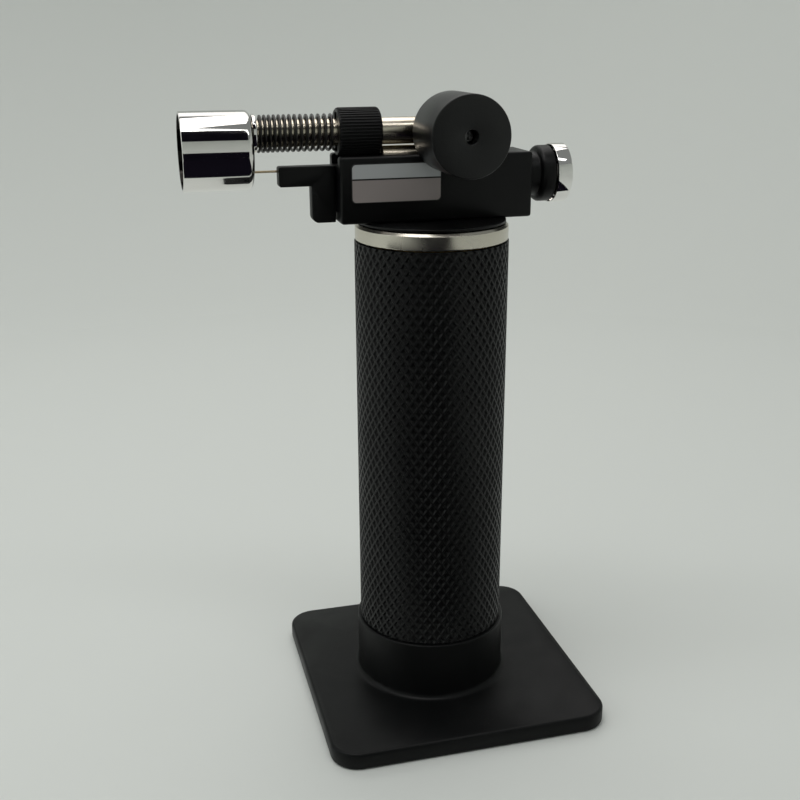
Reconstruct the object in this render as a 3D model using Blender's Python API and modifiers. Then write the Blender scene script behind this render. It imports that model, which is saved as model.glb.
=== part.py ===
"""Piezo butane hand torch for jewellery work, standing in its square foot.

Frame: metres, +Z up.  The origin is on the handle's axis at the underside of the foot.
The burner points along -X, the gas knob faces -Y and the ignition button is at +X.
"""

from math import cos, pi, radians, sin

import bmesh
import bpy
from mathutils import Vector

MM = 0.001

# Gaps between neighbouring pieces
SEAT_GAP = 0.3 * MM
FIT_GAP = 0.15 * MM
SLIDE_GAP = 0.1 * MM
OVERCUT = 1.0 * MM

# Facets round a turned piece
LARGE_STEPS = 48
MEDIUM_STEPS = 32
SMALL_STEPS = 16

# Foot: a square plate with a round socket for the handle
FOOT_SIDE = 66.8 * MM
FOOT_THICKNESS = 4.3 * MM
FOOT_CORNER = 6.5 * MM
FOOT_EDGE = 0.5 * MM
FOOT_SHIFT_X = 1.7 * MM
FOOT_SHIFT_Y = -1.0 * MM
SOCKET_WALL = 1.7 * MM
SOCKET_TOP = 18.7 * MM
SOCKET_FLOOR = 3.0 * MM

# Fuel tank and the handle round it
TANK_RADIUS = 16.2 * MM
TANK_WALL = 0.9 * MM
TANK_FLOOR = 1.2 * MM
BASE_RING_HEIGHT = 2.7 * MM
BASE_RING_WIDTH = 3.6 * MM
BASE_RING_EDGE = 0.4 * MM
SLEEVE_WALL = 1.0 * MM
SLEEVE_TOP = 113.2 * MM
PLUG_FLANGE = 2.4 * MM
PLUG_DEPTH = 7.5 * MM
BOSS_RADIUS = 12.1 * MM
O_RING_SECTION = 0.65 * MM
O_RING_DEPTH = 3.6 * MM
WICK_RADIUS = 1.8 * MM
WICK_BOTTOM = 16.0 * MM

# Nickel ring and the flange that carries the head
RING_SETBACK = 0.15 * MM
RING_HEIGHT = 3.6 * MM
RING_CHAMFER = 0.4 * MM
FLANGE_SETBACK = 0.6 * MM
FLANGE_THICKNESS = 0.6 * MM
NECK_SIDE_GAP = 0.3 * MM
NECK_LIP = 0.9 * MM
NECK_LIP_HEIGHT = 1.2 * MM

# Refill valve in the tank's floor
REFILL_RADIUS = 2.9 * MM
REFILL_FLANGE = 4.8 * MM
REFILL_FLANGE_HEIGHT = 1.0 * MM
REFILL_HEIGHT = 9.0 * MM
REFILL_BORE = 1.7 * MM
REFILL_LIP = 1.6 * MM
REFILL_TOP_WALL = 0.8 * MM
GASKET_THICKNESS = 0.8 * MM
STEM_RADIUS = 0.9 * MM
STEM_COLLAR_RADIUS = 1.45 * MM
STEM_COLLAR_HEIGHT = 0.8 * MM
REFILL_WIRE = 0.2 * MM
REFILL_TURNS = 5

# Head housing, two shells that meet at Y = 0
HOUSING_FRONT = -21.9 * MM
HOUSING_REAR = 21.6 * MM
HOUSING_HALF_WIDTH = 6.1 * MM
HOUSING_HEIGHT = 14.3 * MM
HOUSING_WALL = 1.2 * MM
HOUSING_EDGE = 0.6 * MM
HOUSING_SEAT = 0.2 * MM
TOP_SLOT_HALF = 3.4 * MM
FRONT_SCREW_INSET = 4.9 * MM
REAR_SCREW_INSET = 4.0 * MM
SCREW_BOSS = 2.1 * MM
SCREW_SHANK = 0.8 * MM
SCREW_HEAD = 1.6 * MM
SCREW_HEAD_DEPTH = 0.8 * MM
SCREW_END = 5.0 * MM

# Label on the near face
LABEL_LEFT = 2.3 * MM
LABEL_WIDTH = 19.9 * MM
LABEL_HEIGHT = 8.3 * MM
LABEL_TOP_MARGIN = 1.45 * MM
LABEL_THICKNESS = 0.25 * MM
LABEL_CORNER = 0.8 * MM

# Burner: the tube, its air collar, spring and nozzle
BURNER_RISE = 19.1 * MM
TUBE_RADIUS = 2.9 * MM
TUBE_WALL = 0.7 * MM
TUBE_TIP = -48.0 * MM
TUBE_SOCKET = 1.6 * MM
COLLAR_FRONT = -21.5 * MM
COLLAR_REAR = -12.2 * MM
COLLAR_RADIUS = 5.15 * MM
COLLAR_EDGE = 0.4 * MM
AIR_HOLE_RADIUS = 1.1 * MM
AIR_SLOT_DEPTH = 1.1 * MM
SPRING_WIRE = 0.38 * MM
SPRING_TURNS = 14
FERRULE_RADIUS = 4.1 * MM
FERRULE_LENGTH = 0.9 * MM
NOZZLE_BACK = -40.0 * MM
NOZZLE_LENGTH = 14.7 * MM
NOZZLE_RADIUS = 8.3 * MM
NOZZLE_DROP = 3.3 * MM
NOZZLE_WALL = 0.6 * MM
NOZZLE_BACK_WALL = 0.8 * MM
NOZZLE_EDGE = 1.2 * MM
HOLDER_SETBACK = 2.6 * MM
HOLDER_THICKNESS = 1.6 * MM
HOLDER_HOLES = 7
HOLDER_HOLE_RADIUS = 0.8 * MM
HOLDER_HOLE_RING = 5.6 * MM
HOLDER_HOLE_PITCH = 34
TIP_WALL = 0.7 * MM
TIP_LENGTH = 3.2 * MM
STUB_FRONT = -11.9 * MM
STUB_GAP = 0.2 * MM
JET_LENGTH = 4.2 * MM
JET_BORE = 0.3 * MM

# Valve block, spindle and gas knob
VALVE_X = 2.2 * MM
BLOCK_HALF_LENGTH = 4.0 * MM
BLOCK_NEAR = 6.0 * MM
BLOCK_FAR = 3.6 * MM
BLOCK_RADIUS = 4.1 * MM
TUBE_BOSS_WALL = 0.8 * MM
BLOCK_EDGE = 0.6 * MM
COLUMN_HALF_LENGTH = 4.6 * MM
PIPE_RADIUS = 2.2 * MM
PIPE_X = 0.0 * MM
SPINDLE_RADIUS = 1.5 * MM
SPINDLE_DEPTH = 3.0 * MM
NEEDLE_RADIUS = 0.9 * MM
NEEDLE_TIP = 0.25 * MM
NEEDLE_SHANK = 5.5 * MM
NEEDLE_CONE = 2.0 * MM
NEEDLE_LIFT = 0.8 * MM
VALVE_CHAMBER = 1.5 * MM
VALVE_CHAMBER_END = 2.8 * MM
PACKING_BORE = 2.6 * MM
PACKING_DEPTH = 5.0 * MM
GAS_WAY = 0.8 * MM
GLAND_RADIUS = 3.4 * MM
GLAND_LENGTH = 4.2 * MM
GLAND_SIDES = 6
KNOB_RADIUS = 8.5 * MM
KNOB_LENGTH = 14.9 * MM
KNOB_REAR_GAP = 0.5 * MM
KNOB_WALL = 1.6 * MM
KNOB_FACE = 2.4 * MM
KNOB_EDGE = 0.5 * MM
KNOB_HUB = 3.4 * MM
KNOB_HOLE = 1.45 * MM
KNOB_WEB = 1.0 * MM
KNOB_SCREW_RECESS = 2.0 * MM
KNOB_SCREW_HEAD = 1.2 * MM
KNOB_SCREW_LENGTH = 5.0 * MM

# Ignition: holder, electrode, lead, piezo unit and button
ARM_TIP = -34.4 * MM
ARM_RISE = 7.95 * MM
ARM_HEIGHT = 4.25 * MM
ARM_HALF_WIDTH = 1.8 * MM
LEG_FRONT = -27.4 * MM
LEG_RISE = 0.0 * MM
HOLDER_EDGE = 0.5 * MM
TONGUE_HALF_WIDTH = 1.5 * MM
TONGUE_LENGTH = 1.9 * MM
TONGUE_RISE = 2.4 * MM
ELECTRODE_RISE = 11.2 * MM
ELECTRODE_RADIUS = 0.25 * MM
ELECTRODE_CLEARANCE = 0.5 * MM
ELECTRODE_ROOT = -30.0 * MM
ELECTRODE_BEND = 1.0 * MM
SPARK_GAP = 1.2 * MM
TERMINAL_GAP = 1.0 * MM
LEAD_RADIUS = 0.55 * MM
LEAD_GAP = 0.2 * MM
LEAD_TAP_Y = 2.6 * MM
LEAD_TAP_LENGTH = 1.05 * MM
LEAD_TAP_SLANT = 1.4 * MM
LEAD_DROP = 1.0 * MM
LEAD_RUN = 7.0 * MM
LEAD_STRAIGHT = 3.2 * MM
LEAD_BEND = 0.9 * MM
BUTTON_RISE = 8.8 * MM
BEZEL_RADIUS = 6.25 * MM
BEZEL_LENGTH = 5.6 * MM
BEZEL_EDGE = 0.7 * MM
BEZEL_BORE_GAP = 0.4 * MM
BEZEL_NECK_RADIUS = 4.9 * MM
BEZEL_NECK_LENGTH = 2.3 * MM
PIEZO_RADIUS = 3.4 * MM
PIEZO_FRONT = 9.6 * MM
PIEZO_REAR = 23.9 * MM
PLUNGER_RADIUS = 2.0 * MM
PLUNGER_DEPTH = 7.4 * MM
BUTTON_TRAVEL = 2.8 * MM
CAP_SKIRT = 0.27 * MM
CAP_END = 0.6 * MM
CAP_EDGE = 0.3 * MM
CAP_START_GAP = 0.2 * MM
BUTTON_WIRE = 0.3 * MM
BUTTON_TURNS = 5

# Places that follow from the sizes above
SOCKET_RADIUS = TANK_RADIUS + SEAT_GAP
SLEEVE_INNER = TANK_RADIUS + SEAT_GAP
SLEEVE_RADIUS = SLEEVE_INNER + SLEEVE_WALL
TORCH_BOTTOM = SOCKET_FLOOR + SEAT_GAP
TANK_BOTTOM = TORCH_BOTTOM + BASE_RING_HEIGHT + SEAT_GAP
PLUG_TOP = SLEEVE_TOP
PLUG_SHOULDER = PLUG_TOP - PLUG_FLANGE
TANK_TOP = PLUG_SHOULDER - SEAT_GAP
RING_RADIUS = SLEEVE_RADIUS - RING_SETBACK
FLANGE_RADIUS = RING_RADIUS - FLANGE_SETBACK
BLOCK_FRONT = VALVE_X - BLOCK_HALF_LENGTH
NECK_RADIUS = HOUSING_HALF_WIDTH - HOUSING_WALL - NECK_SIDE_GAP - NECK_LIP
RING_BOTTOM = SLEEVE_TOP + SEAT_GAP
RING_TOP = RING_BOTTOM + RING_HEIGHT
FLANGE_BOTTOM = RING_TOP + SEAT_GAP
FLANGE_TOP = FLANGE_BOTTOM + FLANGE_THICKNESS
HOUSING_BOTTOM = FLANGE_TOP + HOUSING_SEAT
HOUSING_TOP = HOUSING_BOTTOM + HOUSING_HEIGHT
NECK_TOP = HOUSING_BOTTOM + HOUSING_WALL + SEAT_GAP + NECK_LIP_HEIGHT
COLUMN_BOTTOM = NECK_TOP + SEAT_GAP
BURNER_Z = HOUSING_BOTTOM + BURNER_RISE
STUB_Z = BURNER_Z - 2 * TUBE_RADIUS - STUB_GAP
NOZZLE_Z = BURNER_Z - NOZZLE_DROP
KNOB_REAR = -HOUSING_HALF_WIDTH - KNOB_REAR_GAP
KNOB_FRONT = KNOB_REAR - KNOB_LENGTH
ARM_BOTTOM = HOUSING_BOTTOM + ARM_RISE
ARM_TOP = ARM_BOTTOM + ARM_HEIGHT
LEG_BOTTOM = HOUSING_BOTTOM + LEG_RISE
TONGUE_BOTTOM = HOUSING_BOTTOM + TONGUE_RISE
ELECTRODE_Z = HOUSING_BOTTOM + ELECTRODE_RISE
BUTTON_Z = HOUSING_BOTTOM + BUTTON_RISE
SCREW_Z = BUTTON_Z - PIEZO_RADIUS - FIT_GAP - SCREW_BOSS
LEAD_Y = HOUSING_HALF_WIDTH - HOUSING_WALL - LEAD_GAP - LEAD_RADIUS
TUBE_BOSS_RADIUS = TUBE_RADIUS + TUBE_BOSS_WALL
HOUSING_SCREWS = {"front": HOUSING_FRONT + FRONT_SCREW_INSET, "rear": HOUSING_REAR - REAR_SCREW_INSET}
BEZEL_FRONT = HOUSING_REAR + SEAT_GAP
BEZEL_REAR = BEZEL_FRONT + BEZEL_LENGTH
CAP_FRONT = BEZEL_REAR + CAP_START_GAP
CAP_INNER = BEZEL_REAR + BUTTON_TRAVEL + SEAT_GAP
CAP_REAR = CAP_INNER + CAP_END
CAP_BORE = BEZEL_RADIUS + SLIDE_GAP
CAP_RADIUS = CAP_BORE + CAP_SKIRT

UP = Vector((0, 0, 1))
FORWARD = Vector((-1, 0, 0))
REARWARD = Vector((1, 0, 0))
NEARWARD = Vector((0, -1, 0))
FARWARD = Vector((0, 1, 0))

FINISHES = {
    "black_plastic": ((0.018, 0.018, 0.019), 0.45, 0.0),
    "black_alloy": ((0.012, 0.012, 0.013), 0.42, 0.6),
    "nickel": ((0.62, 0.58, 0.5), 0.28, 1.0),
    "chrome": ((0.8, 0.8, 0.78), 0.08, 1.0),
    "spring_steel": ((0.2, 0.19, 0.18), 0.35, 1.0),
    "brass": ((0.65, 0.48, 0.22), 0.3, 1.0),
    "aluminium": ((0.6, 0.6, 0.61), 0.4, 1.0),
    "rubber": ((0.02, 0.02, 0.02), 0.8, 0.0),
    "felt": ((0.75, 0.72, 0.65), 0.95, 0.0),
    "white_plastic": ((0.75, 0.75, 0.72), 0.4, 0.0),
    "red_insulation": ((0.4, 0.03, 0.02), 0.5, 0.0),
    "label_silver": ((0.4, 0.4, 0.41), 0.4, 0.5),
    "electrode_wire": ((0.5, 0.42, 0.3), 0.35, 1.0),
}


def clear_scene():
    """Remove whatever the scene held before."""
    for obj in list(bpy.data.objects):
        bpy.data.objects.remove(obj, do_unlink=True)


def make_collection(name):
    """Add a collection to the scene."""
    collection = bpy.data.collections.new(name)
    bpy.context.scene.collection.children.link(collection)
    return collection


def material(finish):
    """Return the material of a finish, made once."""
    found = bpy.data.materials.get(finish)
    if found:
        return found
    colour, roughness, metallic = FINISHES[finish]
    made = bpy.data.materials.new(finish)
    made.use_nodes = True
    shader = made.node_tree.nodes["Principled BSDF"]
    shader.inputs["Base Color"].default_value = (*colour, 1)
    shader.inputs["Roughness"].default_value = roughness
    shader.inputs["Metallic"].default_value = metallic
    made.diffuse_color = (*colour, 1)
    return made


def add_object(name, data, finish, centre, turn):
    """Put data in the scene: as a part when it has a finish, else as a cutter."""
    obj = bpy.data.objects.new(name, data)
    obj.location = centre
    obj.rotation_euler = turn
    if finish:
        data.materials.append(material(finish))
        torch.objects.link(obj)
    else:
        obj.hide_render = True
        obj.display_type = "WIRE"
        cutters.objects.link(obj)
    return obj


def turn_to(direction):
    """Return the rotation that brings local +Z to a direction."""
    return UP.rotation_difference(direction).to_euler()


def revolve(name, outline, finish=None, centre=(0, 0, 0), toward=UP, steps=MEDIUM_STEPS):
    """Turn an outline of (radius, height) points, outer side first and downwards."""
    count = len(outline)
    links = [(i, i + 1) for i in range(count - 1)]
    if outline[0][0] > 0:
        links.append((count - 1, 0))
    mesh = bpy.data.meshes.new(name)
    mesh.from_pydata([(radius, 0, height) for radius, height in outline], links, [])
    obj = add_object(name, mesh, finish, centre, turn_to(toward))
    screw = obj.modifiers.new("turned", "SCREW")
    screw.steps = steps
    screw.render_steps = steps
    screw.use_merge_vertices = True
    screw.merge_threshold = 1e-6
    return obj


def disc(radius, low, high, edge=0.0):
    """Outline of a solid round, with both rims chamfered by edge."""
    if not edge:
        return [(0, high), (radius, high), (radius, low), (0, low)]
    return [
        (0, high),
        (radius - edge, high),
        (radius, high - edge),
        (radius, low + edge),
        (radius - edge, low),
        (0, low),
    ]


def tube(outer, inner, low, high, edge=0.0):
    """Outline of a round tube, with both outer rims chamfered by edge."""
    if not edge:
        return [(outer, high), (outer, low), (inner, low), (inner, high)]
    return [
        (outer - edge, high),
        (outer, high - edge),
        (outer, low + edge),
        (outer - edge, low),
        (inner, low),
        (inner, high),
    ]


def round_section(ring, section, height, steps=8):
    """Outline of a round cord section at a ring radius, for a torus."""
    angles = [2 * pi * i / steps for i in range(steps)]
    return [(ring + section * sin(a), height + section * cos(a)) for a in angles]


def block(name, low, high, finish=None, edge=0.0):
    """Make a box between two corners, with bevelled edges."""
    shape = bmesh.new()
    bmesh.ops.create_cube(shape, size=1)
    size = Vector(high) - Vector(low)
    bmesh.ops.scale(shape, vec=size, verts=shape.verts)
    mesh = bpy.data.meshes.new(name)
    shape.to_mesh(mesh)
    shape.free()
    obj = add_object(name, mesh, finish, (Vector(high) + Vector(low)) / 2, (0, 0, 0))
    if edge:
        bevel = obj.modifiers.new("edges", "BEVEL")
        bevel.width = edge
        bevel.segments = 2
    return obj


def drill(name, radius, start, end, steps=MEDIUM_STEPS):
    """Make a round cutter between two points."""
    length = (Vector(end) - Vector(start)).length
    direction = (Vector(end) - Vector(start)).normalized()
    return revolve(name, disc(radius, 0, length), None, start, direction, steps)


def drill_x(name, radius, z, start, end, steps=SMALL_STEPS):
    """Make a round cutter along X in the plane Y = 0."""
    return drill(name, radius, (start, 0, z), (end, 0, z), steps)


def drill_y(name, radius, at, start, end, steps=SMALL_STEPS):
    """Make a round cutter along Y at an (x, z) place."""
    return drill(name, radius, (at[0], start, at[1]), (at[0], end, at[1]), steps)


def combine(target, other, operation):
    """Cut other from the target, or join it on."""
    boolean = target.modifiers.new(other.name, "BOOLEAN")
    boolean.operation = operation
    boolean.object = other


def cut(target, *others):
    """Cut each cutter from the target."""
    for other in others:
        combine(target, other, "DIFFERENCE")


def join(target, *others):
    """Join each helper to the target."""
    for other in others:
        combine(target, other, "UNION")


def rod_along(name, points, radius, finish, rings=2):
    """Make a round wire or rod through a list of points."""
    curve = bpy.data.curves.new(name, "CURVE")
    curve.dimensions = "3D"
    curve.bevel_depth = radius
    curve.bevel_resolution = rings
    curve.use_fill_caps = True
    spline = curve.splines.new("POLY")
    spline.points.add(len(points) - 1)
    for place, point in zip(spline.points, points):
        place.co = (*point, 1)
    return add_object(name, curve, finish, (0, 0, 0), (0, 0, 0))


def coil(start, end, mean_radius, turns, steps=8):
    """Return the points of a helix whose ends lie on the planes of start and end."""
    run = Vector(end) - Vector(start)
    turned = UP.rotation_difference(run)
    count = int(turns * steps)
    points = []
    for i in range(count + 1):
        angle = 2 * pi * i / steps
        around = Vector((mean_radius * cos(angle), mean_radius * sin(angle), 0))
        points.append(Vector(start) + run * i / count + turned @ around)
    return points


def filleted(corners, bend, steps=5):
    """Return a path through corners, each inner corner rounded by an arc-like curve."""
    corners = [Vector(corner) for corner in corners]
    path = [corners[0]]
    for before, corner, after in zip(corners, corners[1:], corners[2:]):
        entry = corner + (before - corner).normalized() * bend
        leave = corner + (after - corner).normalized() * bend
        for i in range(steps + 1):
            t = i / steps
            path.append(entry * (1 - t) ** 2 + corner * 2 * t * (1 - t) + leave * t**2)
    path.append(corners[-1])
    return path


def build_foot():
    """The square foot and its socket, in one moulding."""
    outline = bpy.data.curves.new("foot_outline", "CURVE")
    half = FOOT_SIDE / 2
    inset = half - FOOT_CORNER
    spline = outline.splines.new("POLY")
    points = []
    for quarter in range(4):
        middle = radians(45 + 90 * quarter)
        corner = Vector((inset * (1 if cos(middle) > 0 else -1), inset * (1 if sin(middle) > 0 else -1)))
        for i in range(7):
            angle = radians(90 * quarter + 15 * i)
            points.append(corner + FOOT_CORNER * Vector((cos(angle), sin(angle))))
    spline.points.add(len(points) - 1)
    for place, point in zip(spline.points, points):
        place.co = (point.x, point.y, 0, 1)
    spline.use_cyclic_u = True
    outline.dimensions = "2D"
    outline.fill_mode = "BOTH"
    outline.extrude = (FOOT_THICKNESS - 2 * FOOT_EDGE) / 2
    outline.bevel_depth = FOOT_EDGE
    outline.bevel_resolution = 1
    outline.offset = -FOOT_EDGE
    middle = (FOOT_SHIFT_X, FOOT_SHIFT_Y, FOOT_THICKNESS / 2)
    flat = add_object("foot_outline", outline, None, middle, (0, 0, 0))
    foot = mesh_of_curve(flat, "stand_foot", "black_plastic")
    radius = SOCKET_RADIUS + SOCKET_WALL
    wall = revolve("socket_wall", disc(radius, FOOT_THICKNESS / 2, SOCKET_TOP), steps=LARGE_STEPS)
    hollow_outline = disc(SOCKET_RADIUS, SOCKET_FLOOR, SOCKET_TOP + OVERCUT)
    hollow = revolve("socket_hollow", hollow_outline, steps=LARGE_STEPS)
    join(foot, wall)
    cut(foot, hollow)


def mesh_of_curve(flat, name, finish):
    """Turn a flat curve into a mesh part in the same place, its caps welded on."""
    bpy.context.view_layer.update()
    graph = bpy.context.evaluated_depsgraph_get()
    mesh = bpy.data.meshes.new_from_object(flat.evaluated_get(graph))
    mesh.name = name
    mesh.materials.clear()
    shape = bmesh.new()
    shape.from_mesh(mesh)
    bmesh.ops.remove_doubles(shape, verts=shape.verts, dist=1e-6)
    shape.to_mesh(mesh)
    shape.free()
    solid = add_object(name, mesh, finish, (0, 0, 0), (0, 0, 0))
    solid.matrix_world = flat.matrix_world
    bpy.data.objects.remove(flat, do_unlink=True)
    return solid


def build_handle():
    """Tank, sleeve, base ring, top plug and the nickel ring."""
    low = TANK_BOTTOM
    inner = TANK_RADIUS - TANK_WALL
    base_top = TORCH_BOTTOM + BASE_RING_HEIGHT
    base = tube(TANK_RADIUS, TANK_RADIUS - BASE_RING_WIDTH, TORCH_BOTTOM, base_top, BASE_RING_EDGE)
    revolve("base_ring", base, "black_plastic")
    tank_outline = [
        (TANK_RADIUS, TANK_TOP),
        (TANK_RADIUS, low),
        (REFILL_RADIUS + SEAT_GAP, low),
        (REFILL_RADIUS + SEAT_GAP, low + TANK_FLOOR),
        (inner, low + TANK_FLOOR),
        (inner, TANK_TOP),
    ]
    revolve("fuel_tank", tank_outline, "aluminium")
    sleeve_outline = tube(SLEEVE_RADIUS, SLEEVE_INNER, SOCKET_TOP + SEAT_GAP, SLEEVE_TOP)
    revolve("handle_sleeve", sleeve_outline, "black_alloy", steps=LARGE_STEPS)
    ring_outline = [
        (RING_RADIUS - RING_CHAMFER, RING_TOP),
        (RING_RADIUS, RING_TOP - RING_CHAMFER),
        (RING_RADIUS, RING_BOTTOM),
        (BOSS_RADIUS + SEAT_GAP, RING_BOTTOM),
        (BOSS_RADIUS + SEAT_GAP, RING_TOP),
    ]
    revolve("handle_ring", ring_outline, "nickel", steps=LARGE_STEPS)
    build_plug(inner)
    wick_top = PLUG_SHOULDER - PLUG_DEPTH - SEAT_GAP
    revolve("fuel_wick", disc(WICK_RADIUS, WICK_BOTTOM, wick_top), "felt", (PIPE_X, 0, 0), steps=SMALL_STEPS)


def build_plug(tank_inner):
    """The plug that closes the tank, with its seal and the pipe through it."""
    reach = tank_inner - SEAT_GAP
    bottom = PLUG_SHOULDER - PLUG_DEPTH
    groove = PLUG_SHOULDER - O_RING_DEPTH
    groove_half = O_RING_SECTION + FIT_GAP
    ring = reach + FIT_GAP - O_RING_SECTION
    groove_floor = ring - O_RING_SECTION - FIT_GAP
    outline = [
        (0, RING_TOP),
        (BOSS_RADIUS, RING_TOP),
        (BOSS_RADIUS, PLUG_TOP),
        (TANK_RADIUS, PLUG_TOP),
        (TANK_RADIUS, PLUG_SHOULDER),
        (reach, PLUG_SHOULDER),
        (reach, groove + groove_half),
        (groove_floor, groove + groove_half),
        (groove_floor, groove - groove_half),
        (reach, groove - groove_half),
        (reach, bottom),
        (0, bottom),
    ]
    plug = revolve("tank_top_plug", outline, "brass")
    pipe_hole = PIPE_RADIUS + SEAT_GAP
    cut(plug, drill("plug_hole", pipe_hole, (PIPE_X, 0, bottom - OVERCUT), (PIPE_X, 0, RING_TOP + OVERCUT)))
    revolve("tank_o_ring", round_section(ring, O_RING_SECTION, groove), "rubber")
    pipe = disc(PIPE_RADIUS, bottom, COLUMN_BOTTOM - SEAT_GAP)
    revolve("gas_feed_pipe", pipe, "brass", (PIPE_X, 0, 0), steps=SMALL_STEPS)


def build_refill_valve():
    """The filling valve under the tank's floor."""
    top_of_flange = TANK_BOTTOM - GASKET_THICKNESS - 2 * FIT_GAP
    bottom = top_of_flange - REFILL_FLANGE_HEIGHT
    top = bottom + REFILL_HEIGHT
    bore_bottom = bottom + REFILL_LIP
    bore_top = top - REFILL_TOP_WALL
    stem_hole = STEM_RADIUS + FIT_GAP
    vent = REFILL_BORE / 3
    outline = [
        (REFILL_RADIUS, top),
        (REFILL_RADIUS, top_of_flange),
        (REFILL_FLANGE, top_of_flange),
        (REFILL_FLANGE, bottom),
        (stem_hole, bottom),
        (stem_hole, bore_bottom),
        (REFILL_BORE, bore_bottom),
        (REFILL_BORE, bore_top),
        (vent, bore_top),
        (vent, top),
    ]
    revolve("refill_valve_body", outline, "brass", steps=SMALL_STEPS)
    low = top_of_flange + FIT_GAP
    gasket = tube(REFILL_FLANGE, REFILL_RADIUS + SEAT_GAP, low, low + GASKET_THICKNESS)
    revolve("refill_valve_gasket", gasket, "rubber", steps=SMALL_STEPS)
    collar_low = bore_bottom + FIT_GAP
    collar_top = collar_low + STEM_COLLAR_HEIGHT
    stem = [
        (0, collar_top),
        (STEM_COLLAR_RADIUS, collar_top),
        (STEM_COLLAR_RADIUS, collar_low),
        (STEM_RADIUS, collar_low),
        (STEM_RADIUS, bottom + SEAT_GAP),
        (0, bottom + SEAT_GAP),
    ]
    revolve("refill_valve_stem", stem, "brass", steps=SMALL_STEPS)
    reach = REFILL_WIRE + FIT_GAP
    mean = REFILL_BORE - REFILL_WIRE - FIT_GAP
    points = coil((0, 0, collar_top + reach), (0, 0, bore_top - reach), mean, REFILL_TURNS)
    rod_along("refill_valve_spring", points, REFILL_WIRE, "spring_steel", 1)


def build_neck():
    """The flange on the nickel ring, with the neck that the housing clamps."""
    lip_low = NECK_TOP - NECK_LIP_HEIGHT
    outline = [
        (0, NECK_TOP),
        (NECK_RADIUS + NECK_LIP, NECK_TOP),
        (NECK_RADIUS + NECK_LIP, lip_low),
        (NECK_RADIUS, lip_low),
        (NECK_RADIUS, FLANGE_TOP),
        (FLANGE_RADIUS, FLANGE_TOP),
        (FLANGE_RADIUS, FLANGE_BOTTOM),
        (0, FLANGE_BOTTOM),
    ]
    neck = revolve("neck_flange", outline, "black_plastic")
    low = (PIPE_X, 0, FLANGE_BOTTOM - OVERCUT)
    cut(neck, drill("neck_hole", PIPE_RADIUS + SEAT_GAP, low, (PIPE_X, 0, NECK_TOP + OVERCUT)))


def build_housing():
    """The two shells of the head and their screws."""
    for name, side in (("housing_near", -1), ("housing_far", 1)):
        build_shell(name, side)
    face = HOUSING_HALF_WIDTH - FIT_GAP
    for name, x in HOUSING_SCREWS.items():
        outline = [
            (0, 0),
            (SCREW_HEAD, 0),
            (SCREW_HEAD, -SCREW_HEAD_DEPTH),
            (SCREW_SHANK, -SCREW_HEAD_DEPTH),
            (SCREW_SHANK, -face - SCREW_END),
            (0, -face - SCREW_END),
        ]
        revolve("housing_screw_" + name, outline, "spring_steel", (x, face, SCREW_Z), FARWARD, SMALL_STEPS)


def build_shell(name, side):
    """One shell of the housing; side is -1 for the near one and 1 for the far one."""
    half_gap = SEAT_GAP / 2
    low = (HOUSING_FRONT, -HOUSING_HALF_WIDTH, HOUSING_BOTTOM)
    high = (HOUSING_REAR, HOUSING_HALF_WIDTH, HOUSING_TOP)
    shell = block(name, low, high, "black_plastic", HOUSING_EDGE)
    wall = Vector((HOUSING_WALL, HOUSING_WALL, HOUSING_WALL))
    cavity = block(name + "_cavity", Vector(low) + wall, Vector(high) - wall)
    reach = HOUSING_HALF_WIDTH + OVERCUT
    removed = sorted((side * half_gap, -side * reach))
    away = block(
        name + "_away",
        (HOUSING_FRONT - OVERCUT, removed[0], HOUSING_BOTTOM - OVERCUT),
        (HOUSING_REAR + OVERCUT, removed[1], HOUSING_TOP + OVERCUT),
    )
    cut(shell, cavity)
    for boss_name, x in HOUSING_SCREWS.items():
        inner = (x, side * (HOUSING_HALF_WIDTH - HOUSING_WALL / 2), SCREW_Z)
        join(shell, drill(f"{name}_boss_{boss_name}", SCREW_BOSS, (x, 0, SCREW_Z), inner))
    cut(shell, away)
    cut_openings(shell, name)
    for hole_name, x in HOUSING_SCREWS.items():
        cut_screw_hole(shell, f"{name}_{hole_name}", x, SCREW_Z, side)


def cut_openings(shell, name):
    """Cut the neck hole, button hole, top slot and front window in a shell."""
    neck_hole = NECK_RADIUS + SEAT_GAP
    low = (0, 0, HOUSING_BOTTOM - OVERCUT)
    cut(shell, drill(name + "_neck", neck_hole, low, (0, 0, HOUSING_BOTTOM + HOUSING_WALL + OVERCUT)))
    start = HOUSING_REAR - HOUSING_WALL - OVERCUT
    button_hole = PIEZO_RADIUS + SEAT_GAP
    cut(shell, drill_x(name + "_button", button_hole, BUTTON_Z, start, HOUSING_REAR + OVERCUT, MEDIUM_STEPS))
    slot_end = VALVE_X + COLUMN_HALF_LENGTH + SEAT_GAP
    slot = block(
        name + "_slot",
        (HOUSING_FRONT - OVERCUT, -TOP_SLOT_HALF, HOUSING_TOP - HOUSING_WALL - OVERCUT),
        (slot_end, TOP_SLOT_HALF, HOUSING_TOP + OVERCUT),
    )
    window_half = TONGUE_HALF_WIDTH + SEAT_GAP
    window = block(
        name + "_window",
        (HOUSING_FRONT - OVERCUT, -window_half, TONGUE_BOTTOM - SEAT_GAP),
        (HOUSING_FRONT + HOUSING_WALL + OVERCUT, window_half, HOUSING_TOP + OVERCUT),
    )
    cut(shell, slot, window)


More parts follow.
